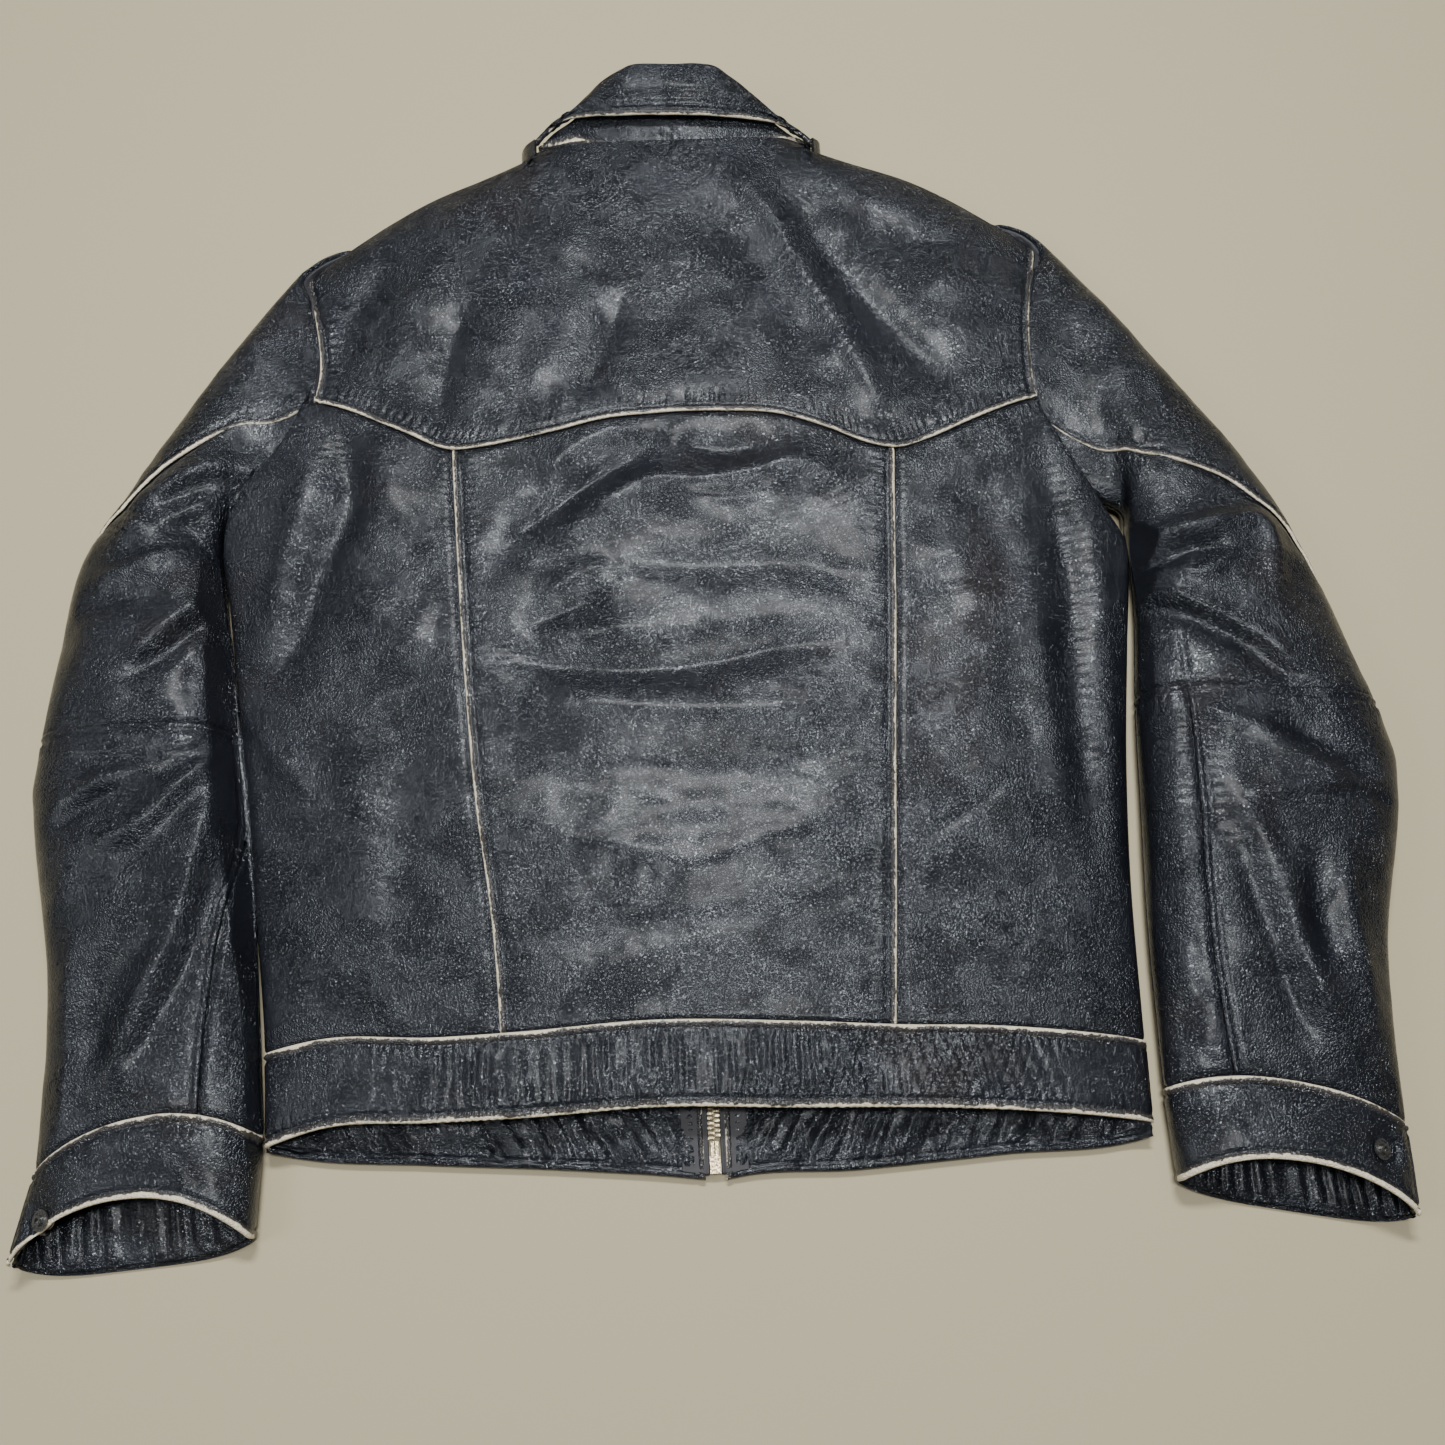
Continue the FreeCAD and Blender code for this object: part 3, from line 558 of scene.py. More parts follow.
band_across, band_up = steps(482, 1.05), steps(44, 1.1, first=0.3)
u, v = np.meshgrid(2 * band_across - 1, band_up, indexing="ij")
x = 240.0 * np.sin(u * np.pi / 2) * 0.12 + 240.0 * u * 0.88
for _ in range(3):
    y = band_low(x) * (1 - v) + (waist_line(x) + 1.0) * v
    x = np.where(u < 0, ease(y, LEFT_HALF), ease(y, RIGHT_HALF) + 1.0) * (np.sin(u * np.pi / 2) * 0.12
            + u * 0.88)
q = np.clip(np.abs(x) / body_half(x, y), 0, 1)
rise = 12 + (ease(y, CROWN_HIGH) - 12) * (1 - q**3) ** 0.42
band_grid = np.stack([x, y, rise + 1.2 + (1 - q**14) * (0.8 * cloud(x, y, 60, 0) + band_pucker(x, y,
        waist_line(x), band_low(x)))], -1)
band_grid, band_worn = dress(band_grid, [("plain", 0, False), ("plain", 0, False), ("fold", 0.25, True),
                                         ("fold", 0.25, True)])
band_hide = hide("waistband_hide", gloss=0.19, wear=1.25)
waistband = skin("waistband_hide_back", band_grid, 3.0, band_hide, band_worn)
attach(waistband, "torso")
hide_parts("waistband_back")
# ---- Back lining ----------------------------------------------------------------------------------------
# A satin sheet cut to the whole back and felled to the facings, lying close under the hide.
def satin(name, colour=(0.012, 0.012, 0.016)):
    """Smooth lining cloth: a fine twill of two crossed waves for bump, and a soft sheen."""
    material = bpy.data.materials.new(name)
    material.use_nodes = True
    nodes, links = material.node_tree.nodes, material.node_tree.links
    shader = nodes["Principled BSDF"]
    place = nodes.new("ShaderNodeTexCoord")
    twill = nodes.new("ShaderNodeTexWave")
    twill.bands_direction = "DIAGONAL"
    twill.inputs["Scale"].default_value = 900
    twill.inputs["Distortion"].default_value = 0.6
    links.new(place.outputs["Object"], twill.inputs["Vector"])
    slub = nodes.new("ShaderNodeTexNoise")
    slub.inputs["Scale"].default_value = 140
    slub.inputs["Detail"].default_value = 4
    links.new(place.outputs["Object"], slub.inputs["Vector"])
    tone = nodes.new("ShaderNodeMapRange")
    tone.inputs["From Min"].default_value, tone.inputs["From Max"].default_value = 0.3, 0.7
    links.new(slub.outputs["Fac"], tone.inputs["Value"])
    ramp = nodes.new("ShaderNodeMix")
    ramp.data_type = "RGBA"
    links.new(tone.outputs["Result"], ramp.inputs["Factor"])
    ramp.inputs[6].default_value = (*colour, 1)
    ramp.inputs[7].default_value = (colour[0] * 1.9, colour[1] * 1.9, colour[2] * 1.8, 1)
    links.new(ramp.outputs[2], shader.inputs["Base Color"])
    bump = nodes.new("ShaderNodeBump")
    bump.inputs["Strength"].default_value = 0.25
    bump.inputs["Distance"].default_value = 0.0002
    links.new(twill.outputs["Fac"], bump.inputs["Height"])
    links.new(bump.outputs["Normal"], shader.inputs["Normal"])
    shader.inputs["Roughness"].default_value = 0.52
    shader.inputs["Sheen Weight"].default_value = 0.25
    shader.inputs["Sheen Roughness"].default_value = 0.4
    return material


lining_satin = satin("dark_satin")
u, v = np.meshgrid(np.linspace(-1, 1, 120), np.linspace(0, 1, 110), indexing="ij")
x = 230 * u
for _ in range(3):
    y = -262 * (1 - v) + (yoke_top(x) - 12) * v
    x = (body_half(x, y) - 5) * u
lining_grid = np.stack([x, y, body_height(x, y) - 3.4], -1)
back_lining = skin("back_lining_satin", lining_grid, 0.6, lining_satin)
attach(back_lining, "torso")
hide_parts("back_lining")

# ---- Sleeves --------------------------------------------------------------------------------------------
# Each arm is a flattened tube. Above the elbow it is two cuts of hide joined by the worn over-arm seam, and
# below it three, set on at the elbow seam. The crumpled folds were pressed in as the arms were laid down.
ARMS = {
    "left": [  # how far along the arm: outer fold x and y, inner fold x and y, height, bow of the section
        (0.0, -198, 268, -230, 78, 27, 0), (0.2, -241, 250, -276, 62, 29, 0), (0.4, -306, 151, -284, 38, 37,
                0),
        (0.6, -346, 80, -281, 6, 42, 0), (0.8, -370, 26, -276, -24, 44, 0), (1.0, -381, -76, -269, -76, 43,
                0),
        (1.35, -381, -130, -261, -132, 43, 2), (1.7, -364, -224, -252, -205, 39, 9), (2.0, -362, -321, -243,
                -306, 34, 18),
        (3.0, -372, -367, -245, -359, 34, 26)],
    "right": [
        (0.0, 194, 268, 216, 64, 27, 0), (0.2, 243, 249, 268, 48, 29, 0), (0.4, 304, 155, 272, 28, 37, 0),
        (0.6, 354, 66, 272, 6, 42, 0), (0.8, 379, 2, 270, -28, 45, 0), (1.0, 401, -92, 263, -80, 45, 0),
        (1.35, 404, -150, 257, -142, 44, 0), (1.7, 380, -242, 250, -222, 40, 5), (2.0, 372, -333, 246, -306,
                34, 12),
        (3.0, 370, -380, 246, -355, 34, 18)],
}
ARM_FOLDS = {
    "left": [
        ([(-272, 40), (-269, 58), (-262, 76), (-266, 90), (-282, 92), (-305, 83), (-322, 67), (-336, 45),
          (-354, 18)], 6.5, 9, 12),
        ([(-332, 52), (-326, 61), (-314, 69), (-293, 80), (-274, 86)], -4.5, 9, 8),
        ([(-306, 60), (-296, 46), (-282, 30)], -7.0, 12, 12),
        ([(-360, 14), (-339, 19), (-317, 28), (-292, 40)], 3.2, 6, 7),
        ([(-340, -64), (-333, -55), (-324, -39), (-312, -24), (-298, -10), (-284, 1), (-268, 6)], 5.0, 8, 7),
        ([(-342, -60), (-326, -46), (-306, -32), (-292, -16), (-274, -2)], -6.0, 7, 6),
        ([(-360, -10), (-345, 0), (-322, 6), (-300, 12)], -3.0, 12, 9),
        ([(-256, -74), (-270, -81), (-286, -92), (-324, -99), (-364, -95)], -3.2, 6, 5),
        ([(-262, -84), (-285, -90), (-328, -108), (-366, -122)], 3.4, 8, 7),
        ([(-262, -84), (-304, -106), (-340, -122), (-370, -140)], -3.4, 6, 6),
        ([(-264, -86), (-290, -113), (-317, -138), (-355, -152)], 3.6, 8, 7),
        ([(-270, -100), (-287, -122), (-309, -148), (-338, -162)], -2.8, 8, 7),
        ([(-262, -88), (-270, -118), (-279, -150), (-290, -199), (-306, -234), (-319, -268), (-332, -292)],
         4.4, 9, 9),
        ([(-266, -123), (-275, -180), (-284, -219), (-300, -253), (-312, -288)], -4.0, 9, 8),
        ([(-349, -180), (-346, -232), (-345, -274), (-345, -312)], 2.6, 9, 9),
        ([(-325, -200), (-328, -243), (-332, -270)], -3.2, 12, 10),
        ([(-338, -100), (-358, -180), (-352, -220)], 1.6, 14, 12)],
    "right": [
        ([(250, 24), (262, 20), (282, 15), (306, 18), (332, 22), (346, 20), (352, 4), (346, -22), (326, -46)],
         6.0, 8, 10),
        ([(256, -6), (283, -2), (308, 4), (328, 0)], -5.5, 7, 6),
        ([(258, -14), (285, -9), (304, -13), (317, -7), (340, 12)], 3.0, 5, 5),
        ([(256, -14), (276, -29), (302, -42), (326, -61), (346, -79), (370, -92)], -8.5, 9, 9),
        ([(270, -20), (284, -24), (308, -39), (332, -56), (352, -78), (376, -92)], 4.6, 6, 7),
        ([(300, 60), (330, 30), (356, -10), (372, -50)], -2.6, 15, 12),
        ([(284, -90), (301, -102), (319, -111), (332, -122), (352, -137), (380, -148)], 3.6, 7, 7),
        ([(330, -98), (363, -126), (390, -142)], -3.2, 8, 8),
        ([(304, -150), (321, -151), (348, -147), (396, -150)], 3.0, 6, 6),
        ([(345, -154), (376, -152), (395, -158)], -2.6, 4, 5),
        ([(300, -138), (307, -158), (316, -180), (322, -206), (328, -245), (337, -273), (348, -302)], 4.4, 8,
         9),
        ([(296, -165), (306, -215), (315, -260), (328, -302)], -3.6, 8, 7),
        ([(362, -170), (357, -213), (360, -257), (358, -310)], 3.0, 8, 12),
        ([(342, -170), (340, -215), (345, -260)], -3.0, 12, 10),
        ([(272, -60), (276, -85), (270, -140), (268, -200), (264, -260)], 2.2, 10, 10),
        ([(287, -44), (287, -62), (286, -84)], -1.6, 1.6, 1.6)],
}


def arm_at(side, along, turn, drop=0.0):
    """A point of the arm: turn degrees round its flattened section (0 the outer fold, 90 the top, 180 the
    inner
    fold, -90 the floor). Across it runs as cos^0.8, up as sin^0.75 above the folds and sin^0.6 below.
    Folds are
    added on top, the cuff past 2 is straight, the top half bows towards the elbow, and inside the body it
    stays under the body's hide."""
    table = np.array(ARMS[side])
    ox, oy, ix, iy, high, bow = [np.where(along > 2, np.interp(along, table[:, 0], table[:, k]),
                                          ease(along, table[:, [0, k]])) for k in range(1, 7)]
    c, s = np.cos(np.radians(turn)), np.sin(np.radians(turn))
    a = np.sign(c) * np.abs(c) ** 0.8
    x, y = (ox + ix) / 2 + (ox - ix) / 2 * a, (oy + iy) / 2 + (oy - iy) / 2 * a
    top = smooth(s / 0.35)
    y = y + bow * (1 - np.abs(a) ** 2.2) * top - 0.30 * bow * (1 - a**4) * smooth(-s / 0.3) * smooth(along
            - 2)
    high_z = 12 + (high - 12) * np.maximum(s, 0) ** 0.75
    low_z = 0.3 + 11.7 * (1 - np.maximum(-s, 0) ** 0.6)
    wx, wy = x + 7 * cloud(x, y, 34, 1), y + 7 * cloud(x, y, 34, 2)
    crumple = (1.5 * cloud(wx, wy, 40, 2) + 0.75 * cloud(wx * 1.2, wy, 17, 4) + 0.28 * cloud(wx, wy, 7.5, 5)
               + 0.08 * cloud(x, y, 3.6, 1))
    relief = folds_at(x, y, ARM_FOLDS[side]) + crumple
    z = np.where(s >= 0, high_z, low_z) + relief * top * (1 - 0.8 * smooth(along - 2)) - drop * np.sign(s)
    inside = np.abs(x) - body_half(x, y)
    held = np.clip(np.abs(x), 0, body_half(x, y) - 0.5) * np.sign(x)
    limit = body_height(held, y) - 1.7 + 1.6 * np.maximum(inside, 0) + 0.05 * np.maximum(inside, 0) ** 2
    soft = np.clip(0.5 + (limit - z) / 6, 0, 1)
    z = np.where(s >= 0, z * soft + limit * (1 - soft) - 1.5 * soft * (1 - soft), z)
    return np.stack([x + drop * -np.sign(x) * c, y, np.maximum(z, 0.3 if drop == 0 else 2.2)], -1)


def seam_turn(side, along, route):
    """Degrees round the arm at which a seam, given as a plan route, crosses each section of the arm."""
    table = np.array(ARMS[side])
    ox, oy, ix, iy = [ease(along, table[:, [0, k]]) for k in range(1, 5)]
    line = curve_through(route, 400)
    mid, half = np.stack([(ox + ix) / 2, (oy + iy) / 2], -1), np.stack([(ox - ix) / 2, (oy - iy) / 2], -1)
    size = np.maximum((half**2).sum(-1), 1e-6)
    away = line[None] - mid[:, None]
    a = (away * half[:, None]).sum(-1) / size[:, None]
    off = np.abs(away[..., 0] * half[:, None, 1] - away[..., 1] * half[:, None, 0]) / np.sqrt(size)[:, None]
    k = np.argmin(off + 40 * (np.abs(a) > 1.02), axis=1)
    a = np.clip(a[np.arange(len(k)), k], -1, 1)
    return np.degrees(np.arccos(np.sign(a) * np.abs(a) ** 1.25))


def arm_start(side, turn):
    """How far along the arm each turn of it comes out from under the body, less 7."""
    along = np.linspace(0, 0.6, 140)
    points = arm_at(side, along[:, None] + 0 * turn, turn + 0 * along[:, None])
    gap = np.abs(points[..., 0]) - body_half(points[..., 0], points[..., 1]) + 8
    k = np.clip(np.argmax(gap > 0, axis=0), 1, 139)
    row = np.arange(gap.shape[1])
    part = np.clip(-gap[k - 1, row] / (gap[k, row] - gap[k - 1, row] + 1e-9), 0, 1)
    start = along[k - 1] + part * (along[1] - along[0])
    kernel = np.ones(9) / 9
    return np.convolve(np.pad(start, 4, mode="edge"), kernel, "valid")


def arm_patch(side, from_turn, to_turn, start, end, along_steps, turn_steps, drop=0.0):
    """A cut of the arm between two seams, each a function of how far along, as a grid of along by turn."""
    head = np.array([0.3])
    lead = from_turn(head) * (1 - turn_steps) + to_turn(head) * turn_steps
    begin = arm_start(side, lead) if start is None else np.full(len(turn_steps), start)
    along = begin[None, :] * (1 - along_steps[:, None]) + end * along_steps[:, None]
    middle = along.mean(axis=1)
    low, high = from_turn(middle), to_turn(middle)
    turn = low[:, None] * (1 - turn_steps) + high[:, None] * turn_steps
    return arm_at(side, along, turn, drop)


def table_turn(table):
    """A seam of the arm, given as degrees round it for a few places along it."""
    return lambda along: ease(along, table)


def over_arm(side, route, leaves):
    """The over-arm seam by its plan route, then down round the outer fold at 260 degrees per unit to -14."""
    last = seam_turn(side, np.array([leaves]), route)[0]

    def turn(along):
        """Degrees round the arm at each place along it."""
        return np.where(along < leaves, seam_turn(side, along, route),
                        np.maximum(last - 260 * (along - leaves), -14))
    return turn


OVER_ROUTE = {"left": [(-225, 150), (-240, 138), (-255, 127), (-267, 119), (-279, 113), (-290, 106),
                       (-302, 98), (-314, 90), (-325, 81), (-331, 76)],
              "right": [(212, 124), (228, 115), (247, 95), (264, 79), (281, 69), (298, 62), (316, 54),
                        (333, 45), (349, 31), (358, 22)]}
LEAVES_TOP = {"left": 0.64, "right": 0.68}  # how far along, the over-arm seam turns down over the outer fold
UNDER_TURN = {"left": [(0.9, 176), (1.0, 174), (1.35, 168), (1.5, 152), (1.7, 130), (1.85, 119), (2.1, 111)],
              "right": [(0.9, 127), (1.0, 126), (1.35, 124), (1.7, 119), (2.1, 109)]}
OUTER_TURN = [(0.9, -14), (2.1, -17)]
for side_name in ("left", "right"):
    turned_over = side_name == "right"
    seam = over_arm(side_name, OVER_ROUTE[side_name], LEAVES_TOP[side_name])
    under = table_turn(UNDER_TURN[side_name])
    outer_seam = table_turn(OUTER_TURN)
    join = 6.0  # degrees that one cut runs under the next
    cuts = [
        ("sleeve_over", lambda a: 0 * a - 179.0, seam, None, 1.03, steps(330, 2.3), steps(210, 2.2),
         [("tuck", 0.3, False), ("under", 0.3, False), ("plain", 0, False), ("fold", 0.22, True)]),
        ("sleeve_rear", lambda a, s=seam: s(a) - join, lambda a: 0 * a + 180.0, None, 1.03, steps(330, 1.9),
         steps(150, 1.7),
         [("tuck", 0.35, False), ("under", 0.4, False), ("under", 0.25, False), ("plain", 0, False)]),
        ("forearm_front", lambda a: 0 * a - 179.0, lambda a, o=outer_seam: o(a) + 1, 1.0, 2.15,
         steps(240, 2.6), steps(140, 2.6),
         [("fold", 0.3, False), ("under", 0.3, False), ("plain", 0, False), ("plain", 0, False)]),
        ("forearm_back", lambda a, o=outer_seam: o(a), lambda a, w=under: w(a) + 1.5, 1.0, 2.15,
         steps(240, 1.8), steps(120, 1.6),
         [("fold", 0.35, False), ("under", 0.3, False), ("plain", 0, False), ("fold", 0.3, False)]),
        ("forearm_under", lambda a, w=under: w(a) - join, lambda a: 0 * a + 180.5, 1.0, 2.15, steps(240, 1.8),
         steps(60, 1.6),
         [("fold", 0.35, False), ("under", 0.3, False), ("under", 0.6, False), ("plain", 0, False)]),
    ]
    for cut_name, low, high, start, end, along_steps, turn_steps, edges in cuts:
        grid = arm_patch(side_name, low, high, start, end, along_steps, turn_steps)
        grid, wear_and_highlight_at = dress(grid, edges, turned_over)
        grid[..., 2] = np.maximum(grid[..., 2], 0.3)
        cut = skin(f"{cut_name}_hide_{side_name}", grid, 1.3, shell_hide, wear_and_highlight_at, turned_over)
        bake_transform(cut)
        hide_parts(f"{cut_name}_{side_name}")
    for cloth_name, start, end in (("sleeve_lining", None, 1.0), ("forearm_lining", 1.0, 2.35)):
        whole = arm_patch(side_name, lambda a: 0 * a - 172.0, lambda a: 0 * a + 172.0, start, end,
                          np.linspace(0, 1, 90), np.linspace(0, 1, 110), 2.6)
        tube = skin(f"{cloth_name}_satin_{side_name}", whole, 0.5, lining_satin, None, turned_over)
        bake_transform(tube)
        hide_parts(f"{cloth_name}_{side_name}")

# ---- Cuffs ----------------------------------------------------------------------------------------------
# A doubled band round each wrist, left unsnapped so its upper layer gapes. Both of its edges are rubbed pale,
# and its facing inside is gathered into upright puckers.
for side_name in ("left", "right"):
    turned_over = side_name == "right"
    u, v = np.meshgrid(steps(50, 1.3), steps(300, 1.5), indexing="ij")
    turn = 10 + 354 * v
    band = arm_at(side_name, 2.0 + u, turn)
    tuck = smooth((turn - 335) / 25) * 2.6
    band[..., 0] -= tuck * np.sign(band[..., 0]) * 0.6
    band[..., 2] += 1.0 * smooth(np.sin(np.radians(turn)) / 0.3) * (1 - u * 0.3)
    streak = cloud(band[..., 0] + 0.6 * band[..., 1], band[..., 1] * 0.25 - 0.2 * band[..., 0], 6.5, 3)
    band[..., 2] += 0.22 * streak * smooth(np.sin(np.radians(turn)) / 0.3) * smooth(u / 0.2) * smooth((1
            - u) / 0.2)
    bare = band.copy()
    band, wear_and_highlight_at = dress(band, [("fold", 0.2, True), ("fold", 0.12, True), ("fold", 0.1, True),
                                 ("fold", 0.1, True)], turned_over)
    # the upper lip is rubbed widest, and the layer on the ground is hardly rubbed
    wear_and_highlight_at = wear_and_highlight_at - 1.3 * smooth((u - 0.88) / 0.06) + 8 * smooth((turn - 178) / 8)
    # the hide is pressed flat under the stud, square to the stud's own lean of 0.52 sideways for each 1 up
    stud_x = (351.0 if turned_over else -351.0)
    from_stud = np.hypot(band[..., 0] - stud_x, band[..., 1] + 345.0)
    pressed = np.exp(-(from_stud / 10.5) ** 4) * smooth(np.sin(np.radians(turn)) / 0.2)
    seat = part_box(f"snap_stud_{side_name}")[0][2] * 1000 + 1.9 - 0.52 * np.sign(stud_x) * (band[..., 0]
            - stud_x)
    band[..., 2] = band[..., 2] * (1 - pressed) + seat * pressed
    band[..., 2] = np.maximum(band[..., 2], 0.2)
    cuff = skin(f"cuff_hide_{side_name}", band, 1.5, band_hide, wear_and_highlight_at, turned_over)
    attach(cuff, f"forearm_{side_name}")
    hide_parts(f"cuff_{side_name}")

    inner = bare - normals(bare, turned_over) * 2.7
    around = np.cumsum(np.linalg.norm(np.diff(inner, axis=1, prepend=inner[:, :1]), axis=2), axis=1)
    pitch = 11.0 if side_name == "left" else 7.5
    under_hand = smooth((turn - 175) / 15) * smooth((352 - turn) / 12)
    gather = np.sin(2 * np.pi * (around + 3.0 * cloud(around, u * 30, 17,
                                                      1)) / pitch) + 0.5 * cloud(around * 1.7, u * 34, 6, 2)
    push = under_hand * 0.95 * (gather + 0.9) * smooth(u / 0.25) * smooth((0.97 - u) / 0.12)
    inner[..., 2] += push
    inner[..., 2] = np.maximum(inner[..., 2], 2.2)
    keep = slice(3, -4)
    facing = skin(f"cuff_facing_hide_{side_name}", inner[keep, keep], 1.0, band_hide, None, turned_over)
    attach(facing, f"forearm_{side_name}")
    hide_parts(f"cuff_facing_{side_name}")
# ---- Fronts ---------------------------------------------------------------------------------------------
# Each front lies flat on the ground and turns up at the side to meet the back. Its edge at the zip is folded
# and doubled into a placket, and a slanting welt pocket is let into it.
FRONT_LOW = {"left": [(0, -342), (6, -341), (84, -332), (155, -326), (225, -319), (246, -314)],
             "right": [(0, -343), (4, -342), (78, -340), (155, -336), (236, -331), (246, -328)]}
LIFT = [(150, 0.2), (165, 0.6), (184, 3.2), (330, 3.4)]


def front_at(side, along_x, low, high, drop, inner_x, y_count):
    """A front in plan from inner_x out to the side, low to high: flat, then the last 24 rises as 1 - (1 -
    t^2)^0.5
    to the side's height. drop lifts it off the outer face. along_x gives the step fractions across."""
    sign = -1 if side == "left" else 1
    u, v = np.meshgrid(along_x, np.linspace(0, 1, y_count), indexing="ij")
    x = inner_x + 220 * u
    for _ in range(6):
        bottom = low(x)
        neck = ease(x, [(0, 240), (12, 242), (30, 251), (62, 277), (84, 308), (92, 326), (122, 312),
                        (172, 292),
                        (210, 266), (240, 239), (262, 226)])
        y = bottom * (1 - v) + (neck - high) * v
        x = inner_x + (body_half(sign * np.ones_like(y), y) - 0.4 * drop - 1.0 - inner_x) * u
    reach = body_half(sign * np.ones_like(y), y) - 1.0
    t = np.clip((x - (reach - 24)) / 24, 0, 1)
    base = ease(y, LIFT)
    edge = ease(y, SIDE_HIGH) - 1.8
    edge = np.where((y > 40) & (y < 226), np.minimum(edge, 4 + 9 * smooth((y - 190) / 40)), edge)
    z = base + drop + (np.maximum(edge - base - drop, 0.5)) * (1 - np.sqrt(1 - np.clip(t, 0, 1) ** 2))
    z = z + (0.25 + 0.25 * t) * (1 + cloud(x, y, 21, 1)) * smooth((x - 20) / 12)
    return np.stack([sign * x, y, z], -1)


for side_name in ("left", "right"):
    turned_over = side_name == "left"
    sign = -1 if turned_over else 1
    low_hem = FRONT_LOW[side_name]
    grid = front_at(side_name, steps(250, 3.0), lambda x: 0 * x - 299.0, 3.0, 0.0, 17.0, 230)
    # this surface faces down, so its layers are stacked upwards from it
    grid, wear_and_highlight_at = dress(grid, [("plain", 0, False), ("plain", 0, False), ("under", 0.2, False),
                                 ("plain", 0, False)], not turned_over)
    grid[..., 2] = np.maximum(grid[..., 2], 0.1)
    front = skin(f"front_hide_{side_name}", grid, 1.3, shell_hide, wear_and_highlight_at, not turned_over)
    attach(front, "torso")
    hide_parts(f"front_panel_{side_name}")

    u, v = np.meshgrid(steps(14, 0.9), steps(540, 3.0), indexing="ij")
    y = -299 * (1 - v) + 241.5 * v
    base = ease(y, LIFT)
    strip = np.stack([sign * (5.6 + 13.6 * u), y, base + 0.0 * u], -1)
    strip, wear_and_highlight_at = dress(strip, [("fold", 0.1, True), ("fold", 0.1, False), ("plain", 0, False),
                                   ("plain", 0, False)], not turned_over)
    placket = skin(f"placket_hide_{side_name}", strip, 2.0, shell_hide, wear_and_highlight_at, not turned_over)
    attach(placket, "torso")

    grid = front_at(side_name, np.linspace(0, 1, 40), lambda x: 0 * x - 297.0, 4.0, 3.6, 60.5, 150)
    lining = skin(f"front_lining_satin_{side_name}", grid, 0.5, lining_satin, None, not turned_over)
    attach(lining, "torso")
    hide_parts(f"front_lining_{side_name}")

    grid = front_at(side_name, np.linspace(0, 0.28, 22), lambda x: 0 * x - 297.0, 5.0, 5.8, 8.0, 200)
    grid[..., 2] = 5.7 + 0.25 * (1 + cloud(grid[..., 0], grid[..., 1], 30, 2))
    facing = skin(f"front_facing_hide_{side_name}", grid, 1.1, band_hide, None, not turned_over)
    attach(facing, "torso")
    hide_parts(f"front_facing_{side_name}")

    # the slanting welt, a narrow folded strip over the pocket mouth, and the flat bag behind it
    u, v = np.meshgrid(steps(16, 0.9), steps(134, 2.0), indexing="ij")
    start, end = np.array([202.6, -243.0]), np.array([168.4, -113.0])
    way = (end - start) / np.linalg.norm(end - start)
    square = np.array([way[1], -way[0]])
    spot = start + (end - start) * v[..., None] + square * (16 * (u[..., None] - 0.5))
    welt = np.stack([sign * spot[..., 0], spot[..., 1], 0.3 + 0 * u], -1)
    welt, wear_and_highlight_at = dress(welt, [("fold", 0.1, True), ("fold", 0.1, True), ("plain", 0, False),
                                 ("plain", 0, False)], not turned_over)
    welt[..., 2] = np.maximum(welt[..., 2] - 0.25, 0.13)
    welt_piece = skin(f"pocket_welt_hide_{side_name}", welt, 1.2, shell_hide, wear_and_highlight_at, not turned_over)
    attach(welt_piece, "torso")
    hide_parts(f"pocket_welt_{side_name}")
    left_line = curve_through([(120, -284), (120, -200), (120, -104)], 40)
    right_line = curve_through([(212, -284), (216, -234), (196, -160), (176, -98)], 40)
    spot = left_line[None] * (1 - np.linspace(0, 1, 40)[:, None, None]) + right_line[None] * np.linspace(0, 1,
            40)[:, None, None]
    bag = np.stack([sign * spot[..., 0], spot[..., 1], 2.6 + 0.3 * cloud(spot[..., 0], spot[..., 1], 24, 3)],
                   -1)
    bag_piece = skin(f"pocket_bag_cloth_{side_name}", bag, 0.9, lining_satin, None, not turned_over)
    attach(bag_piece, "torso")
    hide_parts(f"pocket_bag_{side_name}")

    # front waistband: its inner face shows below the back hem, drawn into slanting shallow puckers
    u, v = np.meshgrid(steps(238, 1.5), steps(40, 1.2), indexing="ij")
    x = 5.6 + 230 * u
    for _ in range(4):
        y = ease(x, low_hem) * (1 - v) - 298.5 * v
        x = 5.6 + (body_half(sign * np.ones_like(y), y) - 0.5 - 5.6) * u
    slant = x - 0.55 * (y + 320)
    wave = np.sin(2 * np.pi * (slant + 5 * cloud(x, y * 0.6, 21,
                                                 2)) / 15.0) + 0.5 * np.sin(2 * np.pi * (slant + 4 * cloud(x,
                                                         y, 12, 4)) / 6.6)
    fade = smooth(v / 0.22) * smooth((u - 0.02) / 0.05) * smooth((1 - u) / 0.08)
    t = np.clip((u - 0.93) / 0.07, 0, 1)
    z = 5.4 + fade * (0.5 * wave * (1 + cloud(x, 0 * y, 37, 5)) + 1.5 * cloud(slant, y * 0.45, 12, 3)
                      + 0.6 * cloud(x, y * 0.8, 5.5, 1)) + 5.5 * t**2
    inner_band = np.stack([sign * x, y, z], -1)
    inner_band, wear_and_highlight_at = dress(inner_band, [("fold", 0.25, True), ("plain", 0, False), ("fold", 0.35, False),
                                             ("plain", 0, False)], turned_over)
    wear_and_highlight_at = wear_and_highlight_at + 1.2
    hem = skin(f"front_waistband_hide_{side_name}", inner_band, 3.6, band_hide, wear_and_highlight_at, turned_over)
    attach(hem, "torso")
    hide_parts(f"waistband_front_{side_name}")

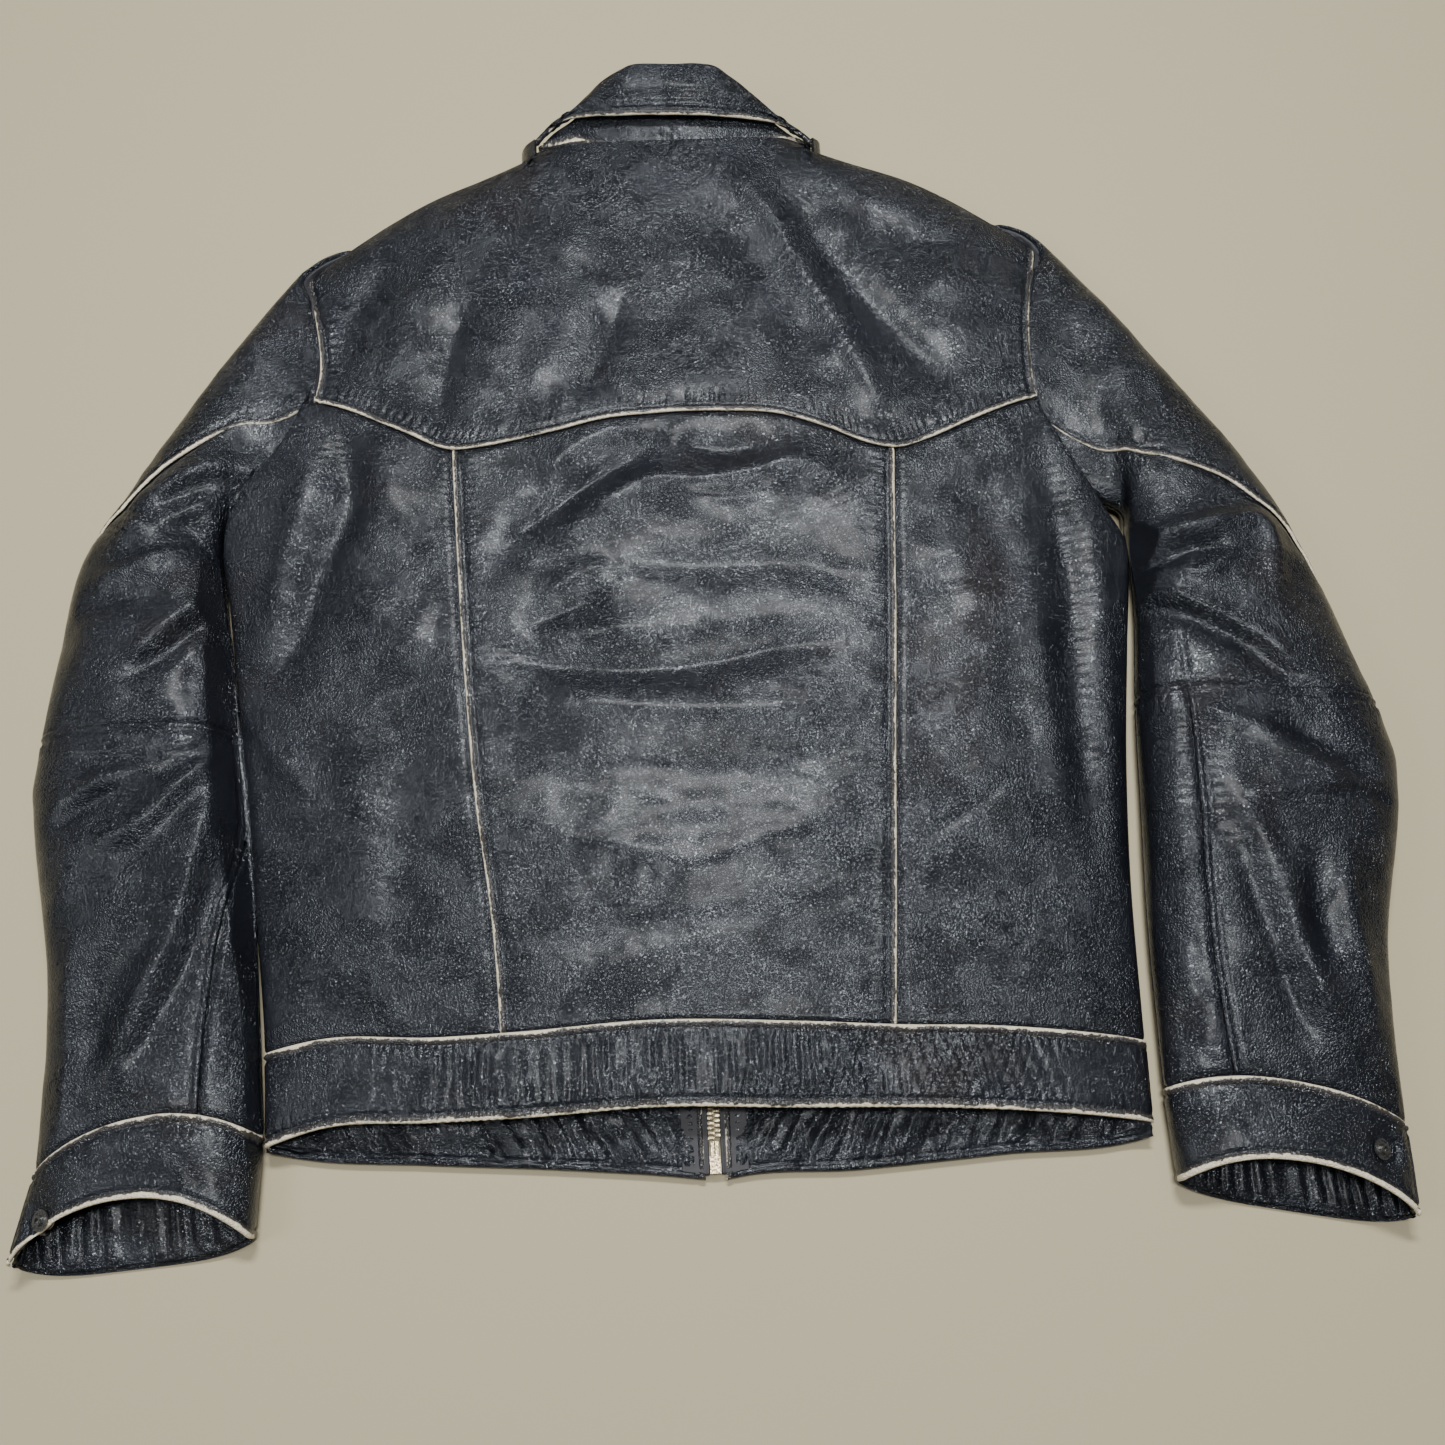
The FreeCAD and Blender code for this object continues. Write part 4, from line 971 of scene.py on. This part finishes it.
# ---- Collar ---------------------------------------------------------------------------------------------
# A two-piece collar: the stand rises from the neck seam, and the fall rolls over its top and lies back on it.
# Its ends run down to the leaves in front, which are pressed flat under the fronts. The fall's edge is rubbed.
FALL_EDGE = [(-87.4, 335.4, 25), (-76.5, 343.3, 31), (-66.3, 346.2, 36), (-46.7, 343.7, 42), (-22.7, 341, 45),
             (2.7, 338.5, 46), (27.2, 337.2, 45), (51.1, 337.2, 41), (75.2, 336.3, 35), (88.3, 331, 30),
             (97.2, 325.6, 24)]
ROLL = [(-87.8, 336.3, 26), (-77.8, 345.5, 30), (-63.8, 350.8, 37), (-53.6, 357.8, 42), (-42.2, 366.8, 47),
        (-28.5, 371.7, 52), (-17.6, 374.1, 54), (7.4, 371.8, 55), (31.3, 371.3, 54), (44.1, 365, 50),
        (55.7, 356.7, 45), (66.1, 348.1, 40), (76.6, 339.8, 35), (89.7, 332.4, 29), (97.7, 326.5, 25)]
NECK_LINE = [(-82.3, 336.8, 23), (-60, 336.7, 28), (-49.1, 330.3, 31), (-31, 325.6, 33), (1.8, 323.8, 34.5),
             (16.8, 321.8, 34.5), (40.8, 324, 33), (65.2, 328.3, 30), (82.4, 331, 27), (92.8, 330, 22)]


def line_along(table, t):
    """A smooth line through points at even fractions of the way."""
    table = np.array(table, float)
    at = np.linspace(0, 1, len(table))
    return np.stack([ease(t, np.stack([at, table[:, k]], -1)) for k in range(3)], -1)


across = steps(210, 1.7)
up = steps(52, 1.1)
u, v = np.meshgrid(across, up, indexing="ij")
edge_points, roll_points, neck_points = line_along(FALL_EDGE, u), line_along(ROLL, u), line_along(NECK_LINE,
        u)
lay = np.clip(v / 0.80, 0, 1)
fall = edge_points * (1 - lay[..., None]) + roll_points * lay[..., None]
span = np.clip(np.linalg.norm(roll_points - edge_points, axis=-1) / 30, 0, 1)
fall[..., 2] += span * (2.8 * np.sin(np.pi * lay) + 0.8 * cloud(fall[..., 0], fall[..., 1], 26, 2)
                        + 0.3 * cloud(fall[..., 0], fall[..., 1], 9, 3)
                        - 1.6 * np.exp(-((lay - 0.34) / 0.1) ** 2)) + 1.2
curl = np.clip((v - 0.80) / 0.20, 0, 1)
fall[..., 1] += span * (2.2 * np.sin(curl * np.pi * 0.75) - 1.6)
fall[..., 2] -= span * 3.0 * (1 - np.cos(curl * np.pi * 0.75))
fall, wear_and_highlight_at = dress(fall, [("plain", 0, False), ("plain", 0, False), ("fold", 0.25, True),
                             ("plain", 0, False)])
fall_piece = skin("collar_fall_hide", fall, 2.2, shell_hide, wear_and_highlight_at)
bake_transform(fall_piece)
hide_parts("collar_fall")

u, v = np.meshgrid(steps(205, 2.0), steps(58, 1.3), indexing="ij")
neck_points, top_points = line_along(NECK_LINE, u), line_along(ROLL, u)
top_points = top_points + np.stack([0 * u, -1.5 + 0 * u, -4.6 + 0 * u], -1)
stand = neck_points * (1 - v[..., None]) + top_points * v[..., None]
stand[..., 1] -= 5.0 * smooth(1 - v / 0.10)
middle = np.exp(-((stand[..., 0] - 2) / 0.9) ** 2)
stand[..., 2] += 0.6 * cloud(stand[..., 0], stand[..., 1], 22,
                             4) - 1.1 * middle - 2.2 * np.sin(np.pi * v) * span[0, 0]
stand, wear_and_highlight_at = dress(stand, [("plain", 0, False), ("plain", 0, False), ("fold", 0.3, False),
                               ("plain", 0, False)])
# painted highlight: the stand's worn distance is taken from the neck seam, so the pale hide colour paints a thin
# line of light along the seam
wear_and_highlight_at = np.abs(stand[..., 1] - neck_points[..., 1]) + 0.5
stand_piece = skin("collar_stand_hide", stand, 2.0, shell_hide, wear_and_highlight_at)
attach(stand_piece, "torso")
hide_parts("collar_stand")

u, v = np.meshgrid(np.linspace(-1, 1, 90), np.linspace(0, 1, 30), indexing="ij")
x = 100 * u
y = 262 + 20 * u**2 + (322 - 262 - 22 * u**2) * v
neck_facing = skin("neck_facing_hide", np.stack([x, y, body_height(x, y) - 5.2], -1), 1.1, band_hide)
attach(neck_facing, "torso")
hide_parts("neck_facing")

for side_name in ("left", "right"):
    sign = -1 if side_name == "left" else 1
    outer_line = curve_through([(20, 204), (58, 208), (76, 266), (97, 320), (92, 335)], 60)
    inner_line = curve_through([(14, 236), (34, 255), (62, 279), (81, 309), (87, 334)], 60)
    t = steps(30, 0.9)[:, None, None]
    spot = outer_line[None] * (1 - t) + inner_line[None] * t
    leaf = np.stack([sign * spot[..., 0], spot[..., 1], 2.6 + 0.3 * cloud(spot[..., 0], spot[..., 1], 17, 2)],
                    -1)
    leaf, wear_and_highlight_at = dress(leaf, [("fold", 0.1, True), ("plain", 0, False), ("plain", 0, False),
                                 ("plain", 0, False)], sign > 0)
    leaf_piece = skin(f"collar_leaf_hide_{side_name}", leaf, 2.2, shell_hide, wear_and_highlight_at, sign > 0)
    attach(leaf_piece, "torso")
    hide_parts(f"collar_leaf_{side_name}")
    # the end of the collar, which turns up from the leaf to the fall beside the neck
    turn_line = curve_through([(88, 3.0), (95, 6), (99, 14), (97, 22), (91, 28)], 40)
    y_line = np.linspace(322, 335, 16)[:, None]
    lean, spread = (2.0, -3.0) if side_name == "left" else (-6.0, 6.0)
    climb = (turn_line[None, :, 1] - 3) / 25 + 0 * y_line
    end_grid = np.stack([sign * (turn_line[None, :, 0] + spread * climb), y_line + lean * climb,
                         3 + 25 * climb], -1)
    end_piece = skin(f"collar_end_hide_{side_name}", end_grid, 2.0, shell_hide, None, sign > 0)
    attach(end_piece, "torso")

u, v = np.meshgrid(np.linspace(0, 1, 70), np.linspace(0, 1, 10), indexing="ij")
x = -36 + 72 * u
loop_grid = np.stack([x, 306 + 7 * v, ease(x, [(-36, 28.6), (-30, 28.2), (-20, 24.8), (0, 22.8), (20, 24.8),
                                               (30, 28.2), (36, 28.6)])], -1)
loop_piece = skin("hanger_loop_hide", loop_grid, 1.2, band_hide)
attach(loop_piece, "hanger_loop")
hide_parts("hanger_loop")

# ---- Zip ------------------------------------------------------------------------------------------------
# A metal chain of about 200 teeth a side, each crimped on the corded edge of a woven tape, with a retainer
# box and pin at the bottom, two stops at the top and a slider with a hanging pull.
def metal(name, colour, dark, rough):
    """Worn plated metal: its tone and polish vary with noise, with tarnish in the low places."""
    material = bpy.data.materials.new(name)
    material.use_nodes = True
    nodes, links = material.node_tree.nodes, material.node_tree.links
    shader = nodes["Principled BSDF"]
    place = nodes.new("ShaderNodeTexCoord")
    spots = nodes.new("ShaderNodeTexNoise")
    spots.inputs["Scale"].default_value = 900
    spots.inputs["Detail"].default_value = 5
    links.new(place.outputs["Object"], spots.inputs["Vector"])
    tarnish = nodes.new("ShaderNodeMapRange")
    tarnish.inputs["From Min"].default_value, tarnish.inputs["From Max"].default_value = 0.38, 0.62
    links.new(spots.outputs["Fac"], tarnish.inputs["Value"])
    blend = nodes.new("ShaderNodeMix")
    blend.data_type = "RGBA"
    links.new(tarnish.outputs["Result"], blend.inputs["Factor"])
    blend.inputs[6].default_value, blend.inputs[7].default_value = (*dark, 1), (*colour, 1)
    links.new(blend.outputs[2], shader.inputs["Base Color"])
    polish = nodes.new("ShaderNodeMapRange")
    polish.inputs["To Min"].default_value, polish.inputs["To Max"].default_value = rough + 0.16, rough
    links.new(tarnish.outputs["Result"], polish.inputs["Value"])
    links.new(polish.outputs["Result"], shader.inputs["Roughness"])
    bump = nodes.new("ShaderNodeBump")
    bump.inputs["Strength"].default_value = 0.2
    bump.inputs["Distance"].default_value = 0.0001
    links.new(spots.outputs["Fac"], bump.inputs["Height"])
    links.new(bump.outputs["Normal"], shader.inputs["Normal"])
    shader.inputs["Metallic"].default_value = 1.0
    return material


zip_brass = metal("aged_zip_brass", (0.46, 0.38, 0.24), (0.13, 0.105, 0.07), 0.32)
stud_nickel = metal("dull_nickel", (0.36, 0.36, 0.35), (0.10, 0.10, 0.10), 0.36)
for side_name in ("left", "right"):
    sign = -1 if side_name == "left" else 1
    rows = -320 + (1.3 if sign > 0 else 0) + 2.6 * np.arange(213)
    # one tooth: a leg that grips the tape and a narrower head with a small peak that meshes with its neighbours
    profile = np.array([(3.3, -0.55, 0), (1.2, -0.55, 0), (0.1, -0.62, 0.12), (-0.45, -0.36, 0.22),
                        (-0.45, 0.36, 0.22),
                        (0.1, 0.62, 0.12), (1.2, 0.55, 0), (3.3, 0.55, 0)])
    count = len(profile)
    low = np.stack([profile[:, 0] * sign, profile[:, 1], 3.75 + profile[:, 2]], -1)
    high = np.stack([profile[:, 0] * sign, profile[:, 1], 6.3 - profile[:, 2]], -1)
    tooth = np.concatenate([low, high])
    points = tooth[None] + np.stack([0 * rows, rows + 0.6, 0 * rows], -1)[:, None]
    ring = np.arange(count)
    walls = np.stack([ring, (ring + 1) % count, (ring + 1) % count + count, ring + count], -1)
    caps = np.array([(k, k + 1, count - 2 - k, count - 1 - k) for k in range(3)])
    shell = np.concatenate([walls, caps[:, ::-1], caps + count])
    faces = shell[None] + (2 * count * np.arange(len(rows)))[:, None, None]
    teeth = mesh_piece(f"zip_teeth_metal_{side_name}", points.reshape(-1, 3) * 0.001,
                       faces.reshape(-1, 4) if sign < 0 else faces.reshape(-1, 4)[:, ::-1], zip_brass)
    teeth.data.polygons.foreach_set("use_smooth", np.zeros(len(teeth.data.polygons), bool))
    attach(teeth, "torso")
    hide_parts(f"zip_teeth_{side_name}")

    u, v = np.meshgrid(steps(15, 0.7), np.linspace(0, 1, 520), indexing="ij")
    bead = 0.35 * np.exp(-((u - 0.06) / 0.05) ** 2)
    tape = np.stack([sign * (3.2 + 14.8 * u), -338.5 + 580 * v, 5.25 + bead
                     + 0.05 * np.sin(v * 580 * np.pi / 0.9)], -1)
    tape_piece = skin(f"zip_tape_cloth_{side_name}", tape, 0.55, lining_satin, None, sign < 0)
    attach(tape_piece, "torso")
    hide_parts(f"zip_tape_{side_name}")

for node_name, finish in (("zip_top_stops", zip_brass), ("zip_retainer_box", zip_brass), ("zip_insertion_pin",
        zip_brass),
                          ("zip_slider", zip_brass), ("zip_pull", zip_brass)):
    kept = bpy.data.objects[node_name]
    kept.data.materials.clear()
    kept.data.materials.append(finish)

# ---- Snaps ----------------------------------------------------------------------------------------------
# Each cuff has a ring-shaped stud riveted through one end, and a domed cap with its socket on the other.
for side_name in ("left", "right"):
    for snap_part in ("snap_stud", "snap_post", "snap_cap", "snap_socket"):
        kept = bpy.data.objects[f"{snap_part}_{side_name}"]
        kept.data.materials.clear()
        kept.data.materials.append(stud_nickel)

# ---- Floor, light and camera ----------------------------------------------------------------------------
# A plain pale floor, two narrow lamps and a broad panel overhead, a dim window at one side, and the view from
# above the hem.
floor_material = bpy.data.materials.new("pale_floor")
floor_material.use_nodes = True
floor_material.node_tree.nodes["Principled BSDF"].inputs["Base Color"].default_value = (0.455, 0.400, 0.262,
        1)
floor_material.node_tree.nodes["Principled BSDF"].inputs["Roughness"].default_value = 0.7
floor = mesh_piece("floor", np.array([(-4, -4, -0.0005), (4, -4, -0.0005), (4, 4, -0.0005),
                                      (-4, 4, -0.0005)]), np.array([[0, 1, 2, 3]]), floor_material)


def soft_light(name, place, aim, size, power, colour=(1, 1, 1)):
    """A rectangular lamp at a place, turned to face its aim."""
    lamp = bpy.data.lights.new(name, "AREA")
    lamp.shape = "RECTANGLE"
    lamp.size, lamp.size_y = size
    lamp.energy = power
    lamp.color = colour
    made = bpy.data.objects.new(name, lamp)
    made.location = place
    made.rotation_euler = (Vector(aim) - Vector(place)).to_track_quat("-Z", "Y").to_euler()
    bpy.context.scene.collection.objects.link(made)


soft_light("overhead", (0.05, 0.80, 1.9), (0, 0.0, 0), (0.60, 0.22), 38)
soft_light("ceiling", (0.0, 0.55, 2.4), (0, 0.0, 0), (2.6, 1.9), 9)
soft_light("near_ceiling", (0.10, -0.30, 1.9), (0, 0.0, 0), (0.50, 0.13), 20)
soft_light("window", (-1.5, -0.5, 1.6), (0, 0, 0), (0.7, 0.7), 8)
world = bpy.data.worlds.new("room")
world.use_nodes = True
world.node_tree.nodes["Background"].inputs["Color"].default_value = (0.9, 0.93, 1.0, 1)
world.node_tree.nodes["Background"].inputs["Strength"].default_value = 0.09
bpy.context.scene.world = world

camera_data = bpy.data.cameras.new("camera")
camera_data.lens = 37.74
camera_data.sensor_width = 36
camera = bpy.data.objects.new("camera", camera_data)
camera.location = (0.0009, -0.3889, 0.8563)
camera.rotation_euler = (Vector((0.0164, -0.0849, 0.020)) - camera.location).to_track_quat("-Z",
        "Y").to_euler()
bpy.context.scene.collection.objects.link(camera)
bpy.context.scene.camera = camera
